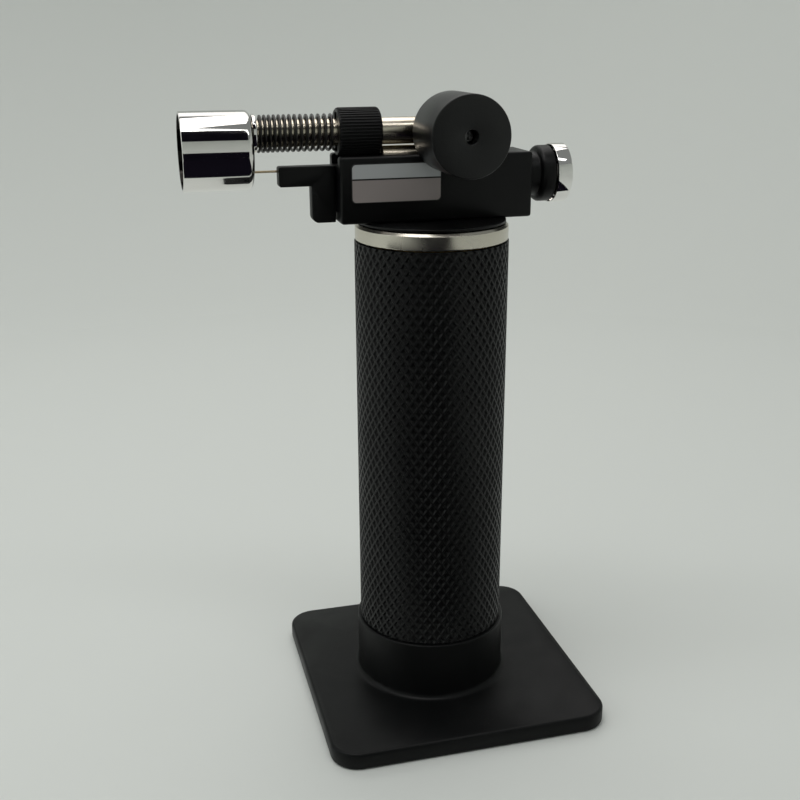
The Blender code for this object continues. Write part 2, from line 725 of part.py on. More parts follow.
def cut_screw_hole(shell, name, x, z, side):
    """Cut a screw's hole through the far shell's boss or into the near one's."""
    clear = SCREW_SHANK + FIT_GAP
    depth = SCREW_END + SEAT_GAP
    if side < 0:
        cut(shell, drill_y(name + "_shank", clear, (x, z), OVERCUT, -depth))
        return
    outside = HOUSING_HALF_WIDTH + OVERCUT
    seat = HOUSING_HALF_WIDTH - SCREW_HEAD_DEPTH - 2 * FIT_GAP
    cut(
        shell,
        drill_y(name + "_shank", clear, (x, z), -OVERCUT, outside),
        drill_y(name + "_head", SCREW_HEAD + FIT_GAP, (x, z), seat, outside),
    )


def build_label():
    """The thin plate on the near face."""
    left = HOUSING_FRONT + LABEL_LEFT
    top = HOUSING_TOP - LABEL_TOP_MARGIN
    outer = -HOUSING_HALF_WIDTH - SLIDE_GAP
    low = (left, outer - LABEL_THICKNESS, top - LABEL_HEIGHT)
    plate = block("label_plate", low, (left + LABEL_WIDTH, outer, top), "label_silver")
    shape = bmesh.new()
    shape.from_mesh(plate.data)
    upright = [e for e in shape.edges if abs(e.verts[0].co.y - e.verts[1].co.y) > LABEL_THICKNESS / 2]
    bmesh.ops.bevel(shape, geom=upright, offset=LABEL_CORNER, segments=4, affect="EDGES", profile=0.5)
    shape.to_mesh(plate.data)
    shape.free()


def build_burner():
    """Tube, collar, spring, nozzle and what the nozzle holds."""
    axis = (0, 0, BURNER_Z)
    inner = TUBE_RADIUS - TUBE_WALL
    tube_end = BLOCK_FRONT + TUBE_SOCKET - SEAT_GAP
    tube_outline = tube(TUBE_RADIUS, inner, TUBE_TIP, tube_end)
    burner = revolve("burner_tube", tube_outline, "nickel", axis, REARWARD)
    hole_x = (COLLAR_FRONT + COLLAR_REAR) / 2
    reach = TUBE_RADIUS + OVERCUT
    low = (hole_x, 0, BURNER_Z - reach)
    cut(burner, drill("air_way", AIR_HOLE_RADIUS, low, (hole_x, 0, BURNER_Z + reach), SMALL_STEPS))
    collar_outline = tube(COLLAR_RADIUS, TUBE_RADIUS + FIT_GAP, COLLAR_FRONT, COLLAR_REAR, COLLAR_EDGE)
    collar = revolve("air_collar", collar_outline, "black_plastic", axis, REARWARD, LARGE_STEPS)
    slot_rise = TUBE_RADIUS + FIT_GAP + AIR_SLOT_DEPTH
    slot = block(
        "collar_slot",
        (COLLAR_FRONT - OVERCUT, -AIR_HOLE_RADIUS, BURNER_Z - slot_rise),
        (hole_x + AIR_HOLE_RADIUS, AIR_HOLE_RADIUS, BURNER_Z + slot_rise),
    )
    cut(collar, slot)
    ferrule_rear = NOZZLE_BACK + SEAT_GAP + FERRULE_LENGTH
    ferrule = tube(FERRULE_RADIUS, TUBE_RADIUS + FIT_GAP, NOZZLE_BACK + SEAT_GAP, ferrule_rear)
    revolve("nozzle_ferrule", ferrule, "chrome", axis, REARWARD)
    start = ferrule_rear + FIT_GAP + SPRING_WIRE
    end = COLLAR_FRONT - FIT_GAP - SPRING_WIRE
    mean = TUBE_RADIUS + SEAT_GAP + SPRING_WIRE
    turns = coil((start, 0, BURNER_Z), (end, 0, BURNER_Z), mean, SPRING_TURNS)
    rod_along("burner_spring", turns, SPRING_WIRE, "spring_steel", 1)
    jet_front = tube_end - JET_LENGTH
    jet = tube(inner - FIT_GAP, JET_BORE, jet_front, tube_end)
    revolve("gas_jet", jet, "brass", axis, REARWARD, SMALL_STEPS)
    stub = disc(TUBE_RADIUS, STUB_FRONT, VALVE_X - COLUMN_HALF_LENGTH - SEAT_GAP)
    revolve("burner_support_stub", stub, "nickel", (0, 0, STUB_Z), REARWARD)
    build_nozzle()


def build_nozzle():
    """The nozzle shell, with the flame holder and the burner tip in it."""
    inner = NOZZLE_RADIUS - NOZZLE_WALL
    shoulder = NOZZLE_RADIUS - NOZZLE_EDGE
    turns = [radians(30 * i) for i in range(4)]
    outline = [
        (NOZZLE_RADIUS, NOZZLE_LENGTH),
        *[(shoulder + NOZZLE_EDGE * cos(a), NOZZLE_EDGE * (1 - sin(a))) for a in turns],
        (0, 0),
        (0, NOZZLE_BACK_WALL),
        (inner, NOZZLE_BACK_WALL),
        (inner, NOZZLE_LENGTH),
    ]
    nozzle = revolve("nozzle_shell", outline, "chrome", (NOZZLE_BACK, 0, NOZZLE_Z), FORWARD, LARGE_STEPS)
    close_outline(nozzle)
    tube_hole = TUBE_RADIUS + FIT_GAP
    wire_hole = ELECTRODE_RADIUS + ELECTRODE_CLEARANCE
    outside = NOZZLE_BACK + OVERCUT
    inside = NOZZLE_BACK - NOZZLE_BACK_WALL - OVERCUT
    cut(
        nozzle,
        drill_x("nozzle_tube_hole", tube_hole, BURNER_Z, outside, inside, MEDIUM_STEPS),
        drill_x("nozzle_electrode_hole", wire_hole, ELECTRODE_Z, outside, inside),
    )
    rear = NOZZLE_BACK - NOZZLE_BACK_WALL - HOLDER_SETBACK
    front = rear - HOLDER_THICKNESS
    plate = disc(inner - FIT_GAP, 0, HOLDER_THICKNESS)
    holder = revolve("flame_holder", plate, "brass", (rear, 0, NOZZLE_Z), FORWARD, LARGE_STEPS)
    behind = rear + OVERCUT
    ahead = front - OVERCUT
    cut(
        holder,
        drill_x("holder_tube_hole", tube_hole, BURNER_Z, behind, ahead, MEDIUM_STEPS),
        drill_x("holder_electrode_hole", wire_hole, ELECTRODE_Z, behind, ahead),
    )
    for i in range(HOLDER_HOLES):
        angle = radians(-90 + (i - (HOLDER_HOLES - 1) / 2) * HOLDER_HOLE_PITCH)
        if abs(angle + pi / 2) < radians(5):
            continue
        y = HOLDER_HOLE_RING * cos(angle)
        z = NOZZLE_Z + HOLDER_HOLE_RING * sin(angle)
        start = (behind, y, z)
        cut(holder, drill(f"holder_hole_{i}", HOLDER_HOLE_RADIUS, start, (ahead, y, z), SMALL_STEPS))
    tip_rear = front - SEAT_GAP
    tip = tube(tube_hole + TIP_WALL, tube_hole, tip_rear - TIP_LENGTH, tip_rear)
    revolve("burner_tip", tip, "brass", (0, 0, BURNER_Z), REARWARD)


def close_outline(obj):
    """Leave out the outline's edge along the axis, which would fold on itself."""
    shape = bmesh.new()
    shape.from_mesh(obj.data)
    along = [e for e in shape.edges if all(v.co.x < 1e-9 for v in e.verts)]
    bmesh.ops.delete(shape, geom=along, context="EDGES_FACES")
    shape.to_mesh(obj.data)
    shape.free()


def build_valve():
    """The valve block on the gas feed pipe, with needle, spindle and gland."""
    seat = HOUSING_TOP + SEAT_GAP
    body = block(
        "valve_block",
        (BLOCK_FRONT, -BLOCK_NEAR, seat),
        (VALVE_X + BLOCK_HALF_LENGTH, BLOCK_FAR, BURNER_Z),
        "black_alloy",
        BLOCK_EDGE,
    )
    barrel = drill_y("valve_barrel", BLOCK_RADIUS, (VALVE_X, BURNER_Z), -BLOCK_NEAR, BLOCK_FAR, MEDIUM_STEPS)
    boss = drill_x("tube_boss", TUBE_BOSS_RADIUS, BURNER_Z, BLOCK_FRONT, VALVE_X, MEDIUM_STEPS)
    column_half = TOP_SLOT_HALF - SEAT_GAP
    column = block(
        "valve_column",
        (VALVE_X - COLUMN_HALF_LENGTH, -column_half, COLUMN_BOTTOM),
        (VALVE_X + COLUMN_HALF_LENGTH, column_half, seat + 2 * OVERCUT),
    )
    join(body, barrel, boss, column)
    face = -BLOCK_NEAR
    spindle_at = (VALVE_X, BURNER_Z)
    tube_stop = BLOCK_FRONT + TUBE_SOCKET
    feed_x = (PIPE_X + VALVE_X) / 2
    feed_y = VALVE_CHAMBER_END - 2 * GAS_WAY
    low = COLUMN_BOTTOM - OVERCUT
    cut(
        body,
        drill_y("packing_bore", PACKING_BORE, spindle_at, face - OVERCUT, face + PACKING_DEPTH),
        drill_y("needle_chamber", VALVE_CHAMBER, spindle_at, face, VALVE_CHAMBER_END),
        drill_x("tube_bore", TUBE_RADIUS + FIT_GAP, BURNER_Z, BLOCK_FRONT - OVERCUT, tube_stop, MEDIUM_STEPS),
        drill_x("jet_way", GAS_WAY, BURNER_Z, BLOCK_FRONT, VALVE_X),
        drill("feed_way", GAS_WAY, (feed_x, feed_y, low), (feed_x, feed_y, BURNER_Z), SMALL_STEPS),
    )
    needle = [
        (0, NEEDLE_SHANK),
        (NEEDLE_RADIUS, NEEDLE_SHANK),
        (NEEDLE_RADIUS, 0),
        (NEEDLE_TIP, -NEEDLE_CONE),
        (0, -NEEDLE_CONE),
    ]
    revolve("valve_needle", needle, "spring_steel", (VALVE_X, 0, BURNER_Z), NEARWARD, SMALL_STEPS)
    build_spindle()
    section = (PACKING_BORE - SPINDLE_RADIUS) / 2 - FIT_GAP
    ring = round_section(SPINDLE_RADIUS + FIT_GAP + section, section, 0)
    seal_y = face + PACKING_DEPTH / 2
    revolve("spindle_o_ring", ring, "rubber", (VALVE_X, seal_y, BURNER_Z), NEARWARD, SMALL_STEPS)
    nut_face = face - SEAT_GAP
    nut_outline = disc(GLAND_RADIUS, 0, GLAND_LENGTH)
    nut = revolve("gland_nut", nut_outline, "brass", (VALVE_X, nut_face, BURNER_Z), NEARWARD, GLAND_SIDES)
    bore_end = nut_face - GLAND_LENGTH - OVERCUT
    cut(nut, drill_y("gland_bore", SPINDLE_RADIUS + FIT_GAP, spindle_at, nut_face + OVERCUT, bore_end))


def build_spindle():
    """The spindle, which holds the knob's screw and the needle's shank."""
    rear = -SPINDLE_DEPTH
    front = KNOB_FRONT + KNOB_FACE + KNOB_SCREW_RECESS + KNOB_WEB + SEAT_GAP
    outline = disc(SPINDLE_RADIUS, -rear, -front)
    spindle = revolve("gas_spindle", outline, "spring_steel", (VALVE_X, 0, BURNER_Z), NEARWARD, SMALL_STEPS)
    at = (VALVE_X, BURNER_Z)
    screw_end = front + KNOB_SCREW_LENGTH
    needle_end = -NEEDLE_SHANK - NEEDLE_LIFT
    cut(
        spindle,
        drill_y("spindle_thread", SCREW_SHANK + FIT_GAP, at, front - OVERCUT, screw_end + SEAT_GAP),
        drill_y("spindle_socket", NEEDLE_RADIUS + FIT_GAP, at, needle_end, rear + OVERCUT),
    )


def build_knob():
    """The gas knob: a deep cup with a hub, and the screw that holds it."""
    front = KNOB_LENGTH
    hub_rear = BLOCK_NEAR + GLAND_LENGTH + 3 * SEAT_GAP + KNOB_REAR
    web_front = front - KNOB_FACE - KNOB_SCREW_RECESS
    web_rear = web_front - KNOB_WEB
    bore = SPINDLE_RADIUS + FIT_GAP
    inner = KNOB_RADIUS - KNOB_WALL
    outline = [
        (KNOB_HOLE, front),
        (KNOB_RADIUS - KNOB_EDGE, front),
        (KNOB_RADIUS, front - KNOB_EDGE),
        (KNOB_RADIUS, 0),
        (inner, 0),
        (inner, front - KNOB_FACE),
        (KNOB_HUB, front - KNOB_FACE),
        (KNOB_HUB, hub_rear),
        (bore, hub_rear),
        (bore, web_rear),
        (SCREW_SHANK + FIT_GAP, web_rear),
        (SCREW_SHANK + FIT_GAP, web_front),
        (KNOB_HOLE, web_front),
    ]
    revolve("gas_knob", outline, "black_plastic", (VALVE_X, KNOB_REAR, BURNER_Z), NEARWARD)
    head = web_front + SEAT_GAP
    screw = [
        (0, head + KNOB_SCREW_HEAD),
        (KNOB_HOLE - FIT_GAP, head + KNOB_SCREW_HEAD),
        (KNOB_HOLE - FIT_GAP, head),
        (SCREW_SHANK, head),
        (SCREW_SHANK, web_rear - KNOB_SCREW_LENGTH + SEAT_GAP),
        (0, web_rear - KNOB_SCREW_LENGTH + SEAT_GAP),
    ]
    revolve("knob_screw", screw, "spring_steel", (VALVE_X, KNOB_REAR, BURNER_Z), NEARWARD, SMALL_STEPS)


def build_electrode():
    """The holder in front of the housing, and the electrode wire."""
    rear = HOUSING_FRONT - SEAT_GAP
    holder = block(
        "electrode_holder",
        (LEG_FRONT, -ARM_HALF_WIDTH, LEG_BOTTOM),
        (rear, ARM_HALF_WIDTH, ARM_TOP),
        "black_plastic",
        HOLDER_EDGE,
    )
    arm = block(
        "holder_arm",
        (ARM_TIP, -ARM_HALF_WIDTH, ARM_BOTTOM),
        (LEG_FRONT + 2 * OVERCUT, ARM_HALF_WIDTH, ARM_TOP),
        edge=HOLDER_EDGE,
    )
    tongue = block(
        "holder_tongue",
        (rear - OVERCUT, -TONGUE_HALF_WIDTH, TONGUE_BOTTOM),
        (rear + TONGUE_LENGTH, TONGUE_HALF_WIDTH, ARM_TOP),
    )
    join(holder, arm, tongue)
    lead_stop = ELECTRODE_ROOT + TERMINAL_GAP
    wire_hole = ELECTRODE_RADIUS + FIT_GAP
    lead_out = rear + TONGUE_LENGTH + OVERCUT
    cut(
        holder,
        drill_x("electrode_hole", wire_hole, ELECTRODE_Z, ARM_TIP - OVERCUT, lead_stop + OVERCUT),
        drill_x("lead_hole", LEAD_RADIUS + FIT_GAP, ELECTRODE_Z, lead_stop, lead_out),
    )
    tube_hole = TUBE_RADIUS + FIT_GAP
    end_z = BURNER_Z - tube_hole - TIP_WALL - SPARK_GAP
    bend_x = TUBE_TIP
    corners = [
        (ELECTRODE_ROOT, 0, ELECTRODE_Z),
        (bend_x, 0, ELECTRODE_Z),
        (bend_x - ELECTRODE_BEND, 0, end_z),
    ]
    rod_along("electrode_wire", filleted(corners, ELECTRODE_BEND), ELECTRODE_RADIUS, "electrode_wire")


def build_ignition():
    """Piezo unit, plunger, button and the lead to the electrode."""
    axis = (0, 0, BUTTON_Z)
    bore = PLUNGER_RADIUS + SEAT_GAP
    plunger_end = PIEZO_REAR - PLUNGER_DEPTH
    bore_end = plunger_end - BUTTON_TRAVEL - SEAT_GAP
    piezo = [
        (PIEZO_RADIUS, PIEZO_REAR),
        (PIEZO_RADIUS, PIEZO_FRONT),
        (0, PIEZO_FRONT),
        (0, bore_end),
        (bore, bore_end),
        (bore, PIEZO_REAR),
    ]
    close_outline(revolve("piezo_body", piezo, "white_plastic", axis, REARWARD))
    plunger = disc(PLUNGER_RADIUS, plunger_end, CAP_INNER - SEAT_GAP)
    revolve("piezo_plunger", plunger, "white_plastic", axis, REARWARD)
    head = BEZEL_FRONT + BEZEL_NECK_LENGTH
    guide = PIEZO_RADIUS + BEZEL_BORE_GAP
    bezel = [
        (guide, BEZEL_REAR),
        (BEZEL_RADIUS, BEZEL_REAR),
        (BEZEL_RADIUS, head + BEZEL_EDGE),
        (BEZEL_RADIUS - BEZEL_EDGE, head),
        (BEZEL_NECK_RADIUS, head),
        (BEZEL_NECK_RADIUS, BEZEL_FRONT),
        (guide, BEZEL_FRONT),
    ]
    revolve("button_bezel", bezel, "black_plastic", axis, REARWARD)
    cap = [
        (0, CAP_REAR),
        (CAP_RADIUS - CAP_EDGE, CAP_REAR),
        (CAP_RADIUS, CAP_REAR - CAP_EDGE),
        (CAP_RADIUS, CAP_FRONT),
        (CAP_BORE, CAP_FRONT),
        (CAP_BORE, CAP_INNER),
        (0, CAP_INNER),
    ]
    revolve("button_cap", cap, "chrome", axis, REARWARD)
    reach = BUTTON_WIRE + FIT_GAP
    mean = PLUNGER_RADIUS + SEAT_GAP + 2 * BUTTON_WIRE
    start = (PIEZO_REAR + reach, 0, BUTTON_Z)
    points = coil(start, (CAP_INNER - reach, 0, BUTTON_Z), mean, BUTTON_TURNS)
    rod_along("button_spring", points, BUTTON_WIRE, "spring_steel", 1)
    tap = PIEZO_FRONT - FIT_GAP
    lead_z = BUTTON_Z - LEAD_DROP
    turn_x = HOUSING_FRONT + TONGUE_LENGTH + LEAD_STRAIGHT
    corners = [
        (tap, LEAD_TAP_Y, lead_z),
        (tap - LEAD_TAP_LENGTH, LEAD_TAP_Y, lead_z),
        (tap - LEAD_TAP_LENGTH - LEAD_TAP_SLANT, LEAD_Y, lead_z),
        (turn_x + LEAD_RUN, LEAD_Y, lead_z),
        (turn_x, 0, ELECTRODE_Z),
        (ELECTRODE_ROOT + TERMINAL_GAP + SEAT_GAP, 0, ELECTRODE_Z),
    ]
    rod_along("ignition_lead", filleted(corners, LEAD_BEND, 4), LEAD_RADIUS, "red_insulation")


def shade_parts():
    """Bake each part's modifiers into its mesh and shade its round faces smooth."""
    bpy.context.view_layer.update()
    graph = bpy.context.evaluated_depsgraph_get()
    baked = {}
    for obj in torch.objects:
        if obj.type == "MESH":
            baked[obj] = bpy.data.meshes.new_from_object(obj.evaluated_get(graph))
    for obj, mesh in baked.items():
        obj.modifiers.clear()
        mesh.name = obj.name
        obj.data = mesh
        mesh.shade_smooth()
        mesh.set_sharp_from_angle(angle=radians(35))


clear_scene()
torch = make_collection("butane_torch")
cutters = make_collection("butane_torch_cutters")
cutters.hide_render = True
build_foot()
build_handle()
build_refill_valve()
build_neck()
build_housing()
build_label()
build_burner()
build_valve()
build_knob()
build_electrode()
build_ignition()
shade_parts()
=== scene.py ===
"""The looks of a piezo butane hand torch that stands in its square foot.

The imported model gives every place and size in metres: +Z is up, the burner points along -X, the
gas knob faces -Y and the spark button is at +X.
"""

import logging
from dataclasses import dataclass, field
from enum import Enum
from math import acos, cos, pi, radians, sin, tan
from typing import Any, Callable, Iterable, Sequence

import bmesh
import bpy
from mathutils import Matrix, Vector


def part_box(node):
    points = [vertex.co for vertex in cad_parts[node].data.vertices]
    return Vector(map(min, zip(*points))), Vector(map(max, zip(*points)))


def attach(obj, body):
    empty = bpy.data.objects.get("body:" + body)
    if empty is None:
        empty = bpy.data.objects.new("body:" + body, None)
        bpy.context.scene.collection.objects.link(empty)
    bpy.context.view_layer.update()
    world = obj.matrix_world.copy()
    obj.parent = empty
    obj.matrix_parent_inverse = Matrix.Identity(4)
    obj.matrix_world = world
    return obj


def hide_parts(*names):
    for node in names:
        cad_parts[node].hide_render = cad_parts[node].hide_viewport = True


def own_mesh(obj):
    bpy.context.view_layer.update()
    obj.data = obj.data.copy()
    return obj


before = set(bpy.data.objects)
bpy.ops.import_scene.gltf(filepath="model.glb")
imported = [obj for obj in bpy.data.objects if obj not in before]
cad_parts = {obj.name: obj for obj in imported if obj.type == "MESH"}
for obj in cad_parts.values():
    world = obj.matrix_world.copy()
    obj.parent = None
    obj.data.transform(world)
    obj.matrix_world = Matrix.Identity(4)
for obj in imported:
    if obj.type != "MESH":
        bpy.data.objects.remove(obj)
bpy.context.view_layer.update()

MM = 0.001
WELD = 1e-6
LOG = logging.getLogger("torch")

Material = bpy.types.Material
Node = bpy.types.Node
NodeTree = bpy.types.NodeTree
Piece = bpy.types.Object
Shape = bmesh.types.BMesh
Socket = bpy.types.NodeSocket
Colour = tuple[float, float, float]
Point2 = tuple[float, float]
Outline = Sequence[tuple[float, ...]]


class Axis(Enum):
    """A direction that a turned piece's length runs along."""

    UP = (0.0, 0.0, 1.0)
    FORWARD = (-1.0, 0.0, 0.0)
    REARWARD = (1.0, 0.0, 0.0)
    NEARWARD = (0.0, -1.0, 0.0)
    FARWARD = (0.0, 1.0, 0.0)

    @property
    def turn(self) -> Matrix:
        """The rotation that brings local +Z to this direction."""
        return Vector((0, 0, 1)).rotation_difference(Vector(self.value)).to_matrix().to_4x4()


class Body(Enum):
    """The bodies that pieces ride on."""

    STAND = "stand"
    TORCH = "torch"
    KNOB = "knob"
    COLLAR = "collar"
    BUTTON = "button"


@dataclass(frozen=True)
class Span:
    """The box of one CAD node at rest."""

    low: Vector
    high: Vector

    @classmethod
    def of(cls, node: str) -> "Span":
        """Read the box of a node."""
        return cls(*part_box(node))

    def end(self, axis: Axis, side: int) -> Vector:
        """The middle of the face where a direction enters the box (-1) or leaves it (1)."""
        ends = (self.low, self.middle, self.high)
        return Vector([ends[1 + side * round(step)][i] for i, step in enumerate(axis.value)])

    @property
    def middle(self) -> Vector:
        """The middle of the box."""
        return (self.low + self.high) / 2

    @property
    def size(self) -> Vector:
        """The box's three sizes."""
        return self.high - self.low


@dataclass(frozen=True)
class Corner:
    """One corner of a turned outline, with the radius that rounds it."""

    radius: float
    along: float
    fillet: float = 0.0


def rounded(corners: Sequence[Corner], steps: int = 5) -> list[Point2]:
    """Round the corners of a closed outline.

    Args:
        corners: The outline's corners in order.
        steps: How many straight pieces each arc has.

    Returns:
        The outline's points as (radius, along).
    """
    points: list[Point2] = []
    count = len(corners)
    for i, corner in enumerate(corners):
        at = Vector((corner.radius, corner.along))
        if not corner.fillet:
            points.append(tuple(at))
            continue
        before = Vector((corners[i - 1].radius, corners[i - 1].along)) - at
        after = Vector((corners[(i + 1) % count].radius, corners[(i + 1) % count].along)) - at
        before.normalize()
        after.normalize()
        half = acos(max(-1.0, min(1.0, before.dot(after)))) / 2
        centre = at + (before + after).normalized() * corner.fillet / sin(half)
        reach = corner.fillet / tan(half)
        first = at + before * reach - centre
        last = at + after * reach - centre
        sweep = first.angle_signed(last)
        for k in range(steps + 1):
            points.append(tuple(centre + Matrix.Rotation(-sweep * k / steps, 2) @ first))
    return points


def new_object(name: str, mesh: bpy.types.Mesh) -> Piece:
    """Put a mesh in the scene at the origin."""
    piece = bpy.data.objects.new(name, mesh)
    bpy.context.scene.collection.objects.link(piece)
    return piece


def from_bmesh(name: str, shape: Shape, crease: float = 30.0) -> Piece:
    """Make an object from a bmesh and shade it smooth below an angle.

    Args:
        name: The piece's name.
        shape: The shape, which is freed.
        crease: Edges over this angle in degrees stay sharp.

    Returns:
        The new object.
    """
    mesh = bpy.data.meshes.new(name)
    shape.to_mesh(mesh)
    shape.free()
    mesh.shade_smooth()
    mesh.set_sharp_from_angle(angle=radians(crease))
    return new_object(name, mesh)


def turned_shape(outline: Sequence[Point2], axis: Axis, start: Vector, steps: int) -> Shape:
    """Turn a closed outline round an axis.

    Args:
        outline: Points as (radius, along), in order, with or without points on the axis.
        axis: The direction of the axis.
        start: The point on the axis where along is zero.
        steps: How many facets go round.

    Returns:
        A closed bmesh with its faces pointing out.
    """
    shape = bmesh.new()
    place = Matrix.Translation(start) @ axis.turn
    rings = []
    for radius, along in outline:
        if radius < WELD:
            rings.append([shape.verts.new(place @ Vector((0, 0, along)))])
            continue
        angles = (2 * pi * k / steps for k in range(steps))
        rings.append([shape.verts.new(place @ Vector((radius * cos(a), radius * sin(a), along))) for a in angles])
    for one, two in zip(rings, rings[1:] + rings[:1]):
        if len(one) == len(two) == 1:
            continue
        for k in range(steps):
            n = (k + 1) % steps
            around = [one[k % len(one)], one[n % len(one)], two[n % len(two)], two[k % len(two)]]
            shape.faces.new(dict.fromkeys(around))
    bmesh.ops.recalc_face_normals(shape, faces=shape.faces)
    return shape


def turned(name: str, rows: Outline, axis: Axis, start: Vector, steps: int) -> Piece:
    """Make a turned piece from corners given as (radius, along, fillet)."""
    corners = [Corner(*row) for row in rows]
    return from_bmesh(name, turned_shape(rounded(corners), axis, start, steps))


def baked(piece: Piece) -> Piece:
    """Turn a piece's modifiers into its plain mesh."""
    bpy.context.view_layer.update()
    graph = bpy.context.evaluated_depsgraph_get()
    mesh = bpy.data.meshes.new_from_object(piece.evaluated_get(graph))
    piece.modifiers.clear()
    piece.data = mesh
    mesh.name = piece.name
    return piece


def combined(piece: Piece, tools: Iterable[Piece], operation: str, crease: float = 30.0) -> None:
    """Cut tools from a piece or join them to it, and remove them.

    Args:
        piece: The piece that changes.
        tools: The closed shapes to cut or join.
        operation: DIFFERENCE or UNION.
        crease: Edges over this angle in degrees stay sharp.
    """
    tools = list(tools)
    for tool in tools:
        boolean = piece.modifiers.new(tool.name, "BOOLEAN")
        boolean.operation = operation
        boolean.object = tool
    baked(piece)
    piece.data.shade_smooth()
    piece.data.set_sharp_from_angle(angle=radians(crease))
    for tool in tools:
        bpy.data.objects.remove(tool, do_unlink=True)


def softened(piece: Piece, width: float, segments: int = 3, angle: float = 40.0) -> Piece:
    """Round a piece's sharp edges, with normals that keep its flat faces flat.

    Args:
        piece: The piece.
        width: The width of the rounding.
        segments: How many facets the rounding has.
        angle: Only edges over this angle in degrees are rounded.

    Returns:
        The same piece, its modifiers turned into its mesh.
    """
    bevel = piece.modifiers.new("soft edges", "BEVEL")
    bevel.width = width
    bevel.segments = segments
    bevel.limit_method = "ANGLE"
    bevel.angle_limit = radians(angle)
    bevel.harden_normals = True
    baked(piece)
    return piece


def recast(node: str, name: str, crease: float = 34.0) -> Piece:
    """Copy a CAD node with its triangles merged into clean faces.

    Args:
        node: The CAD node.
        name: The new piece's name.
        crease: Edges over this angle in degrees stay sharp.

    Returns:
        The copy, which isn't on any body yet.
    """
    shape = bmesh.new()
    shape.from_mesh(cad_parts[node].data)
    bmesh.ops.remove_doubles(shape, verts=shape.verts, dist=WELD)
    bmesh.ops.dissolve_limit(
        shape, angle_limit=radians(0.5), verts=shape.verts, edges=shape.edges, use_dissolve_boundaries=False
    )
    return from_bmesh(name, shape, crease)


def skin(shape: Shape, rings: Sequence[Sequence[bmesh.types.BMVert]]) -> None:
    """Join neighbouring rings of equal length with four-sided faces."""
    for one, two in zip(rings, rings[1:]):
        for k in range(len(one)):
            n = (k + 1) % len(one)
            shape.faces.new((one[k], one[n], two[n], two[k]))


def prism(name: str, outline: Sequence[Point2], low: float, high: float, axis: Axis, at: Vector) -> Piece:
    """Extrude a flat outline along an axis.

    Args:
        name: The piece's name.
        outline: The outline's points in the plane across the axis.
        low: Where the solid starts along the axis.
        high: Where it ends.
        axis: The direction of extrusion.
        at: The outline's origin.

    Returns:
        The solid.
    """
    shape = bmesh.new()
    place = Matrix.Translation(at) @ axis.turn
    ends = [[shape.verts.new(place @ Vector((x, y, along))) for x, y in outline] for along in (low, high)]
    shape.faces.new(ends[0])
    shape.faces.new(ends[1])
    skin(shape, ends)
    bmesh.ops.recalc_face_normals(shape, faces=shape.faces)
    return from_bmesh(name, shape)


def box_of(name: str, low: Vector, high: Vector) -> Piece:
    """Make a plain box between two corners, for cutting."""
    outline = [(low.x, low.y), (high.x, low.y), (high.x, high.y), (low.x, high.y)]
    return prism(name, outline, low.z, high.z, Axis.UP, Vector())


# Node trees


def wire(tree: NodeTree, kind: str, inputs: dict[Any, Any] | None = None, **settings: Any) -> Node:
    """Add a node, with its settings, its values and its links.

    Args:
        tree: The node tree.
        kind: The node's type.
        inputs: Values, output sockets or nodes' first outputs, by input name or number.
        settings: The node's own properties.

    Returns:
        The node.
    """
    node = tree.nodes.new(kind)
    for key, value in settings.items():
        setattr(node, key, value)
    for key, value in (inputs or {}).items():
        if isinstance(value, Node):
            value = value.outputs[0]
        if isinstance(value, Socket):
            tree.links.new(value, node.inputs[key])
        else:
            node.inputs[key].default_value = value
    return node


def reckon(tree: NodeTree, operation: str, *values: Any) -> Socket:
    """Add a Math node and return its result."""
    return wire(tree, "ShaderNodeMath", dict(enumerate(values)), operation=operation).outputs[0]


def object_place(tree: NodeTree) -> Socket:
    """Return the Object coordinates."""
    return wire(tree, "ShaderNodeTexCoord").outputs["Object"]


def open_group(name: str, kind: str, inputs: dict[str, tuple[str, Any]], outputs: dict[str, str]) -> tuple:
    """Make a node group with named sockets.

    Args:
        name: The group's name.
        kind: The tree's type.
        inputs: Socket type and default value by name.
        outputs: Socket type by name.

    Returns:
        The tree, its input node and its output node.
    """
    tree = bpy.data.node_groups.new(name, kind)
    for label, (socket, value) in inputs.items():
        made = tree.interface.new_socket(label, in_out="INPUT", socket_type=socket)
        if value is not None:
            made.default_value = value
    for label, socket in outputs.items():
        tree.interface.new_socket(label, in_out="OUTPUT", socket_type=socket)
    return tree, tree.nodes.new("NodeGroupInput"), tree.nodes.new("NodeGroupOutput")


FLOAT = "NodeSocketFloat"
WHOLE = "NodeSocketInt"
VECTOR = "NodeSocketVector"
GEOMETRY = "NodeSocketGeometry"
MATERIAL = "NodeSocketMaterial"


def grown(name: str, tree: NodeTree, values: dict[str, Any]) -> Piece:
    """Run a geometry tree and keep its result as a plain mesh.

    Args:
        name: The piece's name.
        tree: The tree, which ends in Realize Instances and Set Material.
        values: The tree's inputs by name.

    Returns:
        The piece.
    """
    piece = new_object(name, bpy.data.meshes.new(name))
    modifier = piece.modifiers.new(name, "NODES")
    modifier.node_group = tree
    names = {item.name: item.identifier for item in tree.interface.items_tree if item.in_out == "INPUT"}
    for label, value in values.items():
        modifier[names[label]] = value
    return baked(piece)


def end_tree(tree: NodeTree, geometry: Node, given: Any, out: Any) -> None:
    """Finish a geometry tree with Realize Instances, smooth shading and Set Material."""
    real = wire(tree, "GeometryNodeRealizeInstances", {"Geometry": geometry})
    smooth = wire(tree, "GeometryNodeSetShadeSmooth", {"Geometry": real})
    named = wire(tree, "GeometryNodeSetMaterial", {"Geometry": smooth, "Material": given.outputs["Finish"]})
    tree.links.new(named.outputs[0], out.inputs["Geometry"])


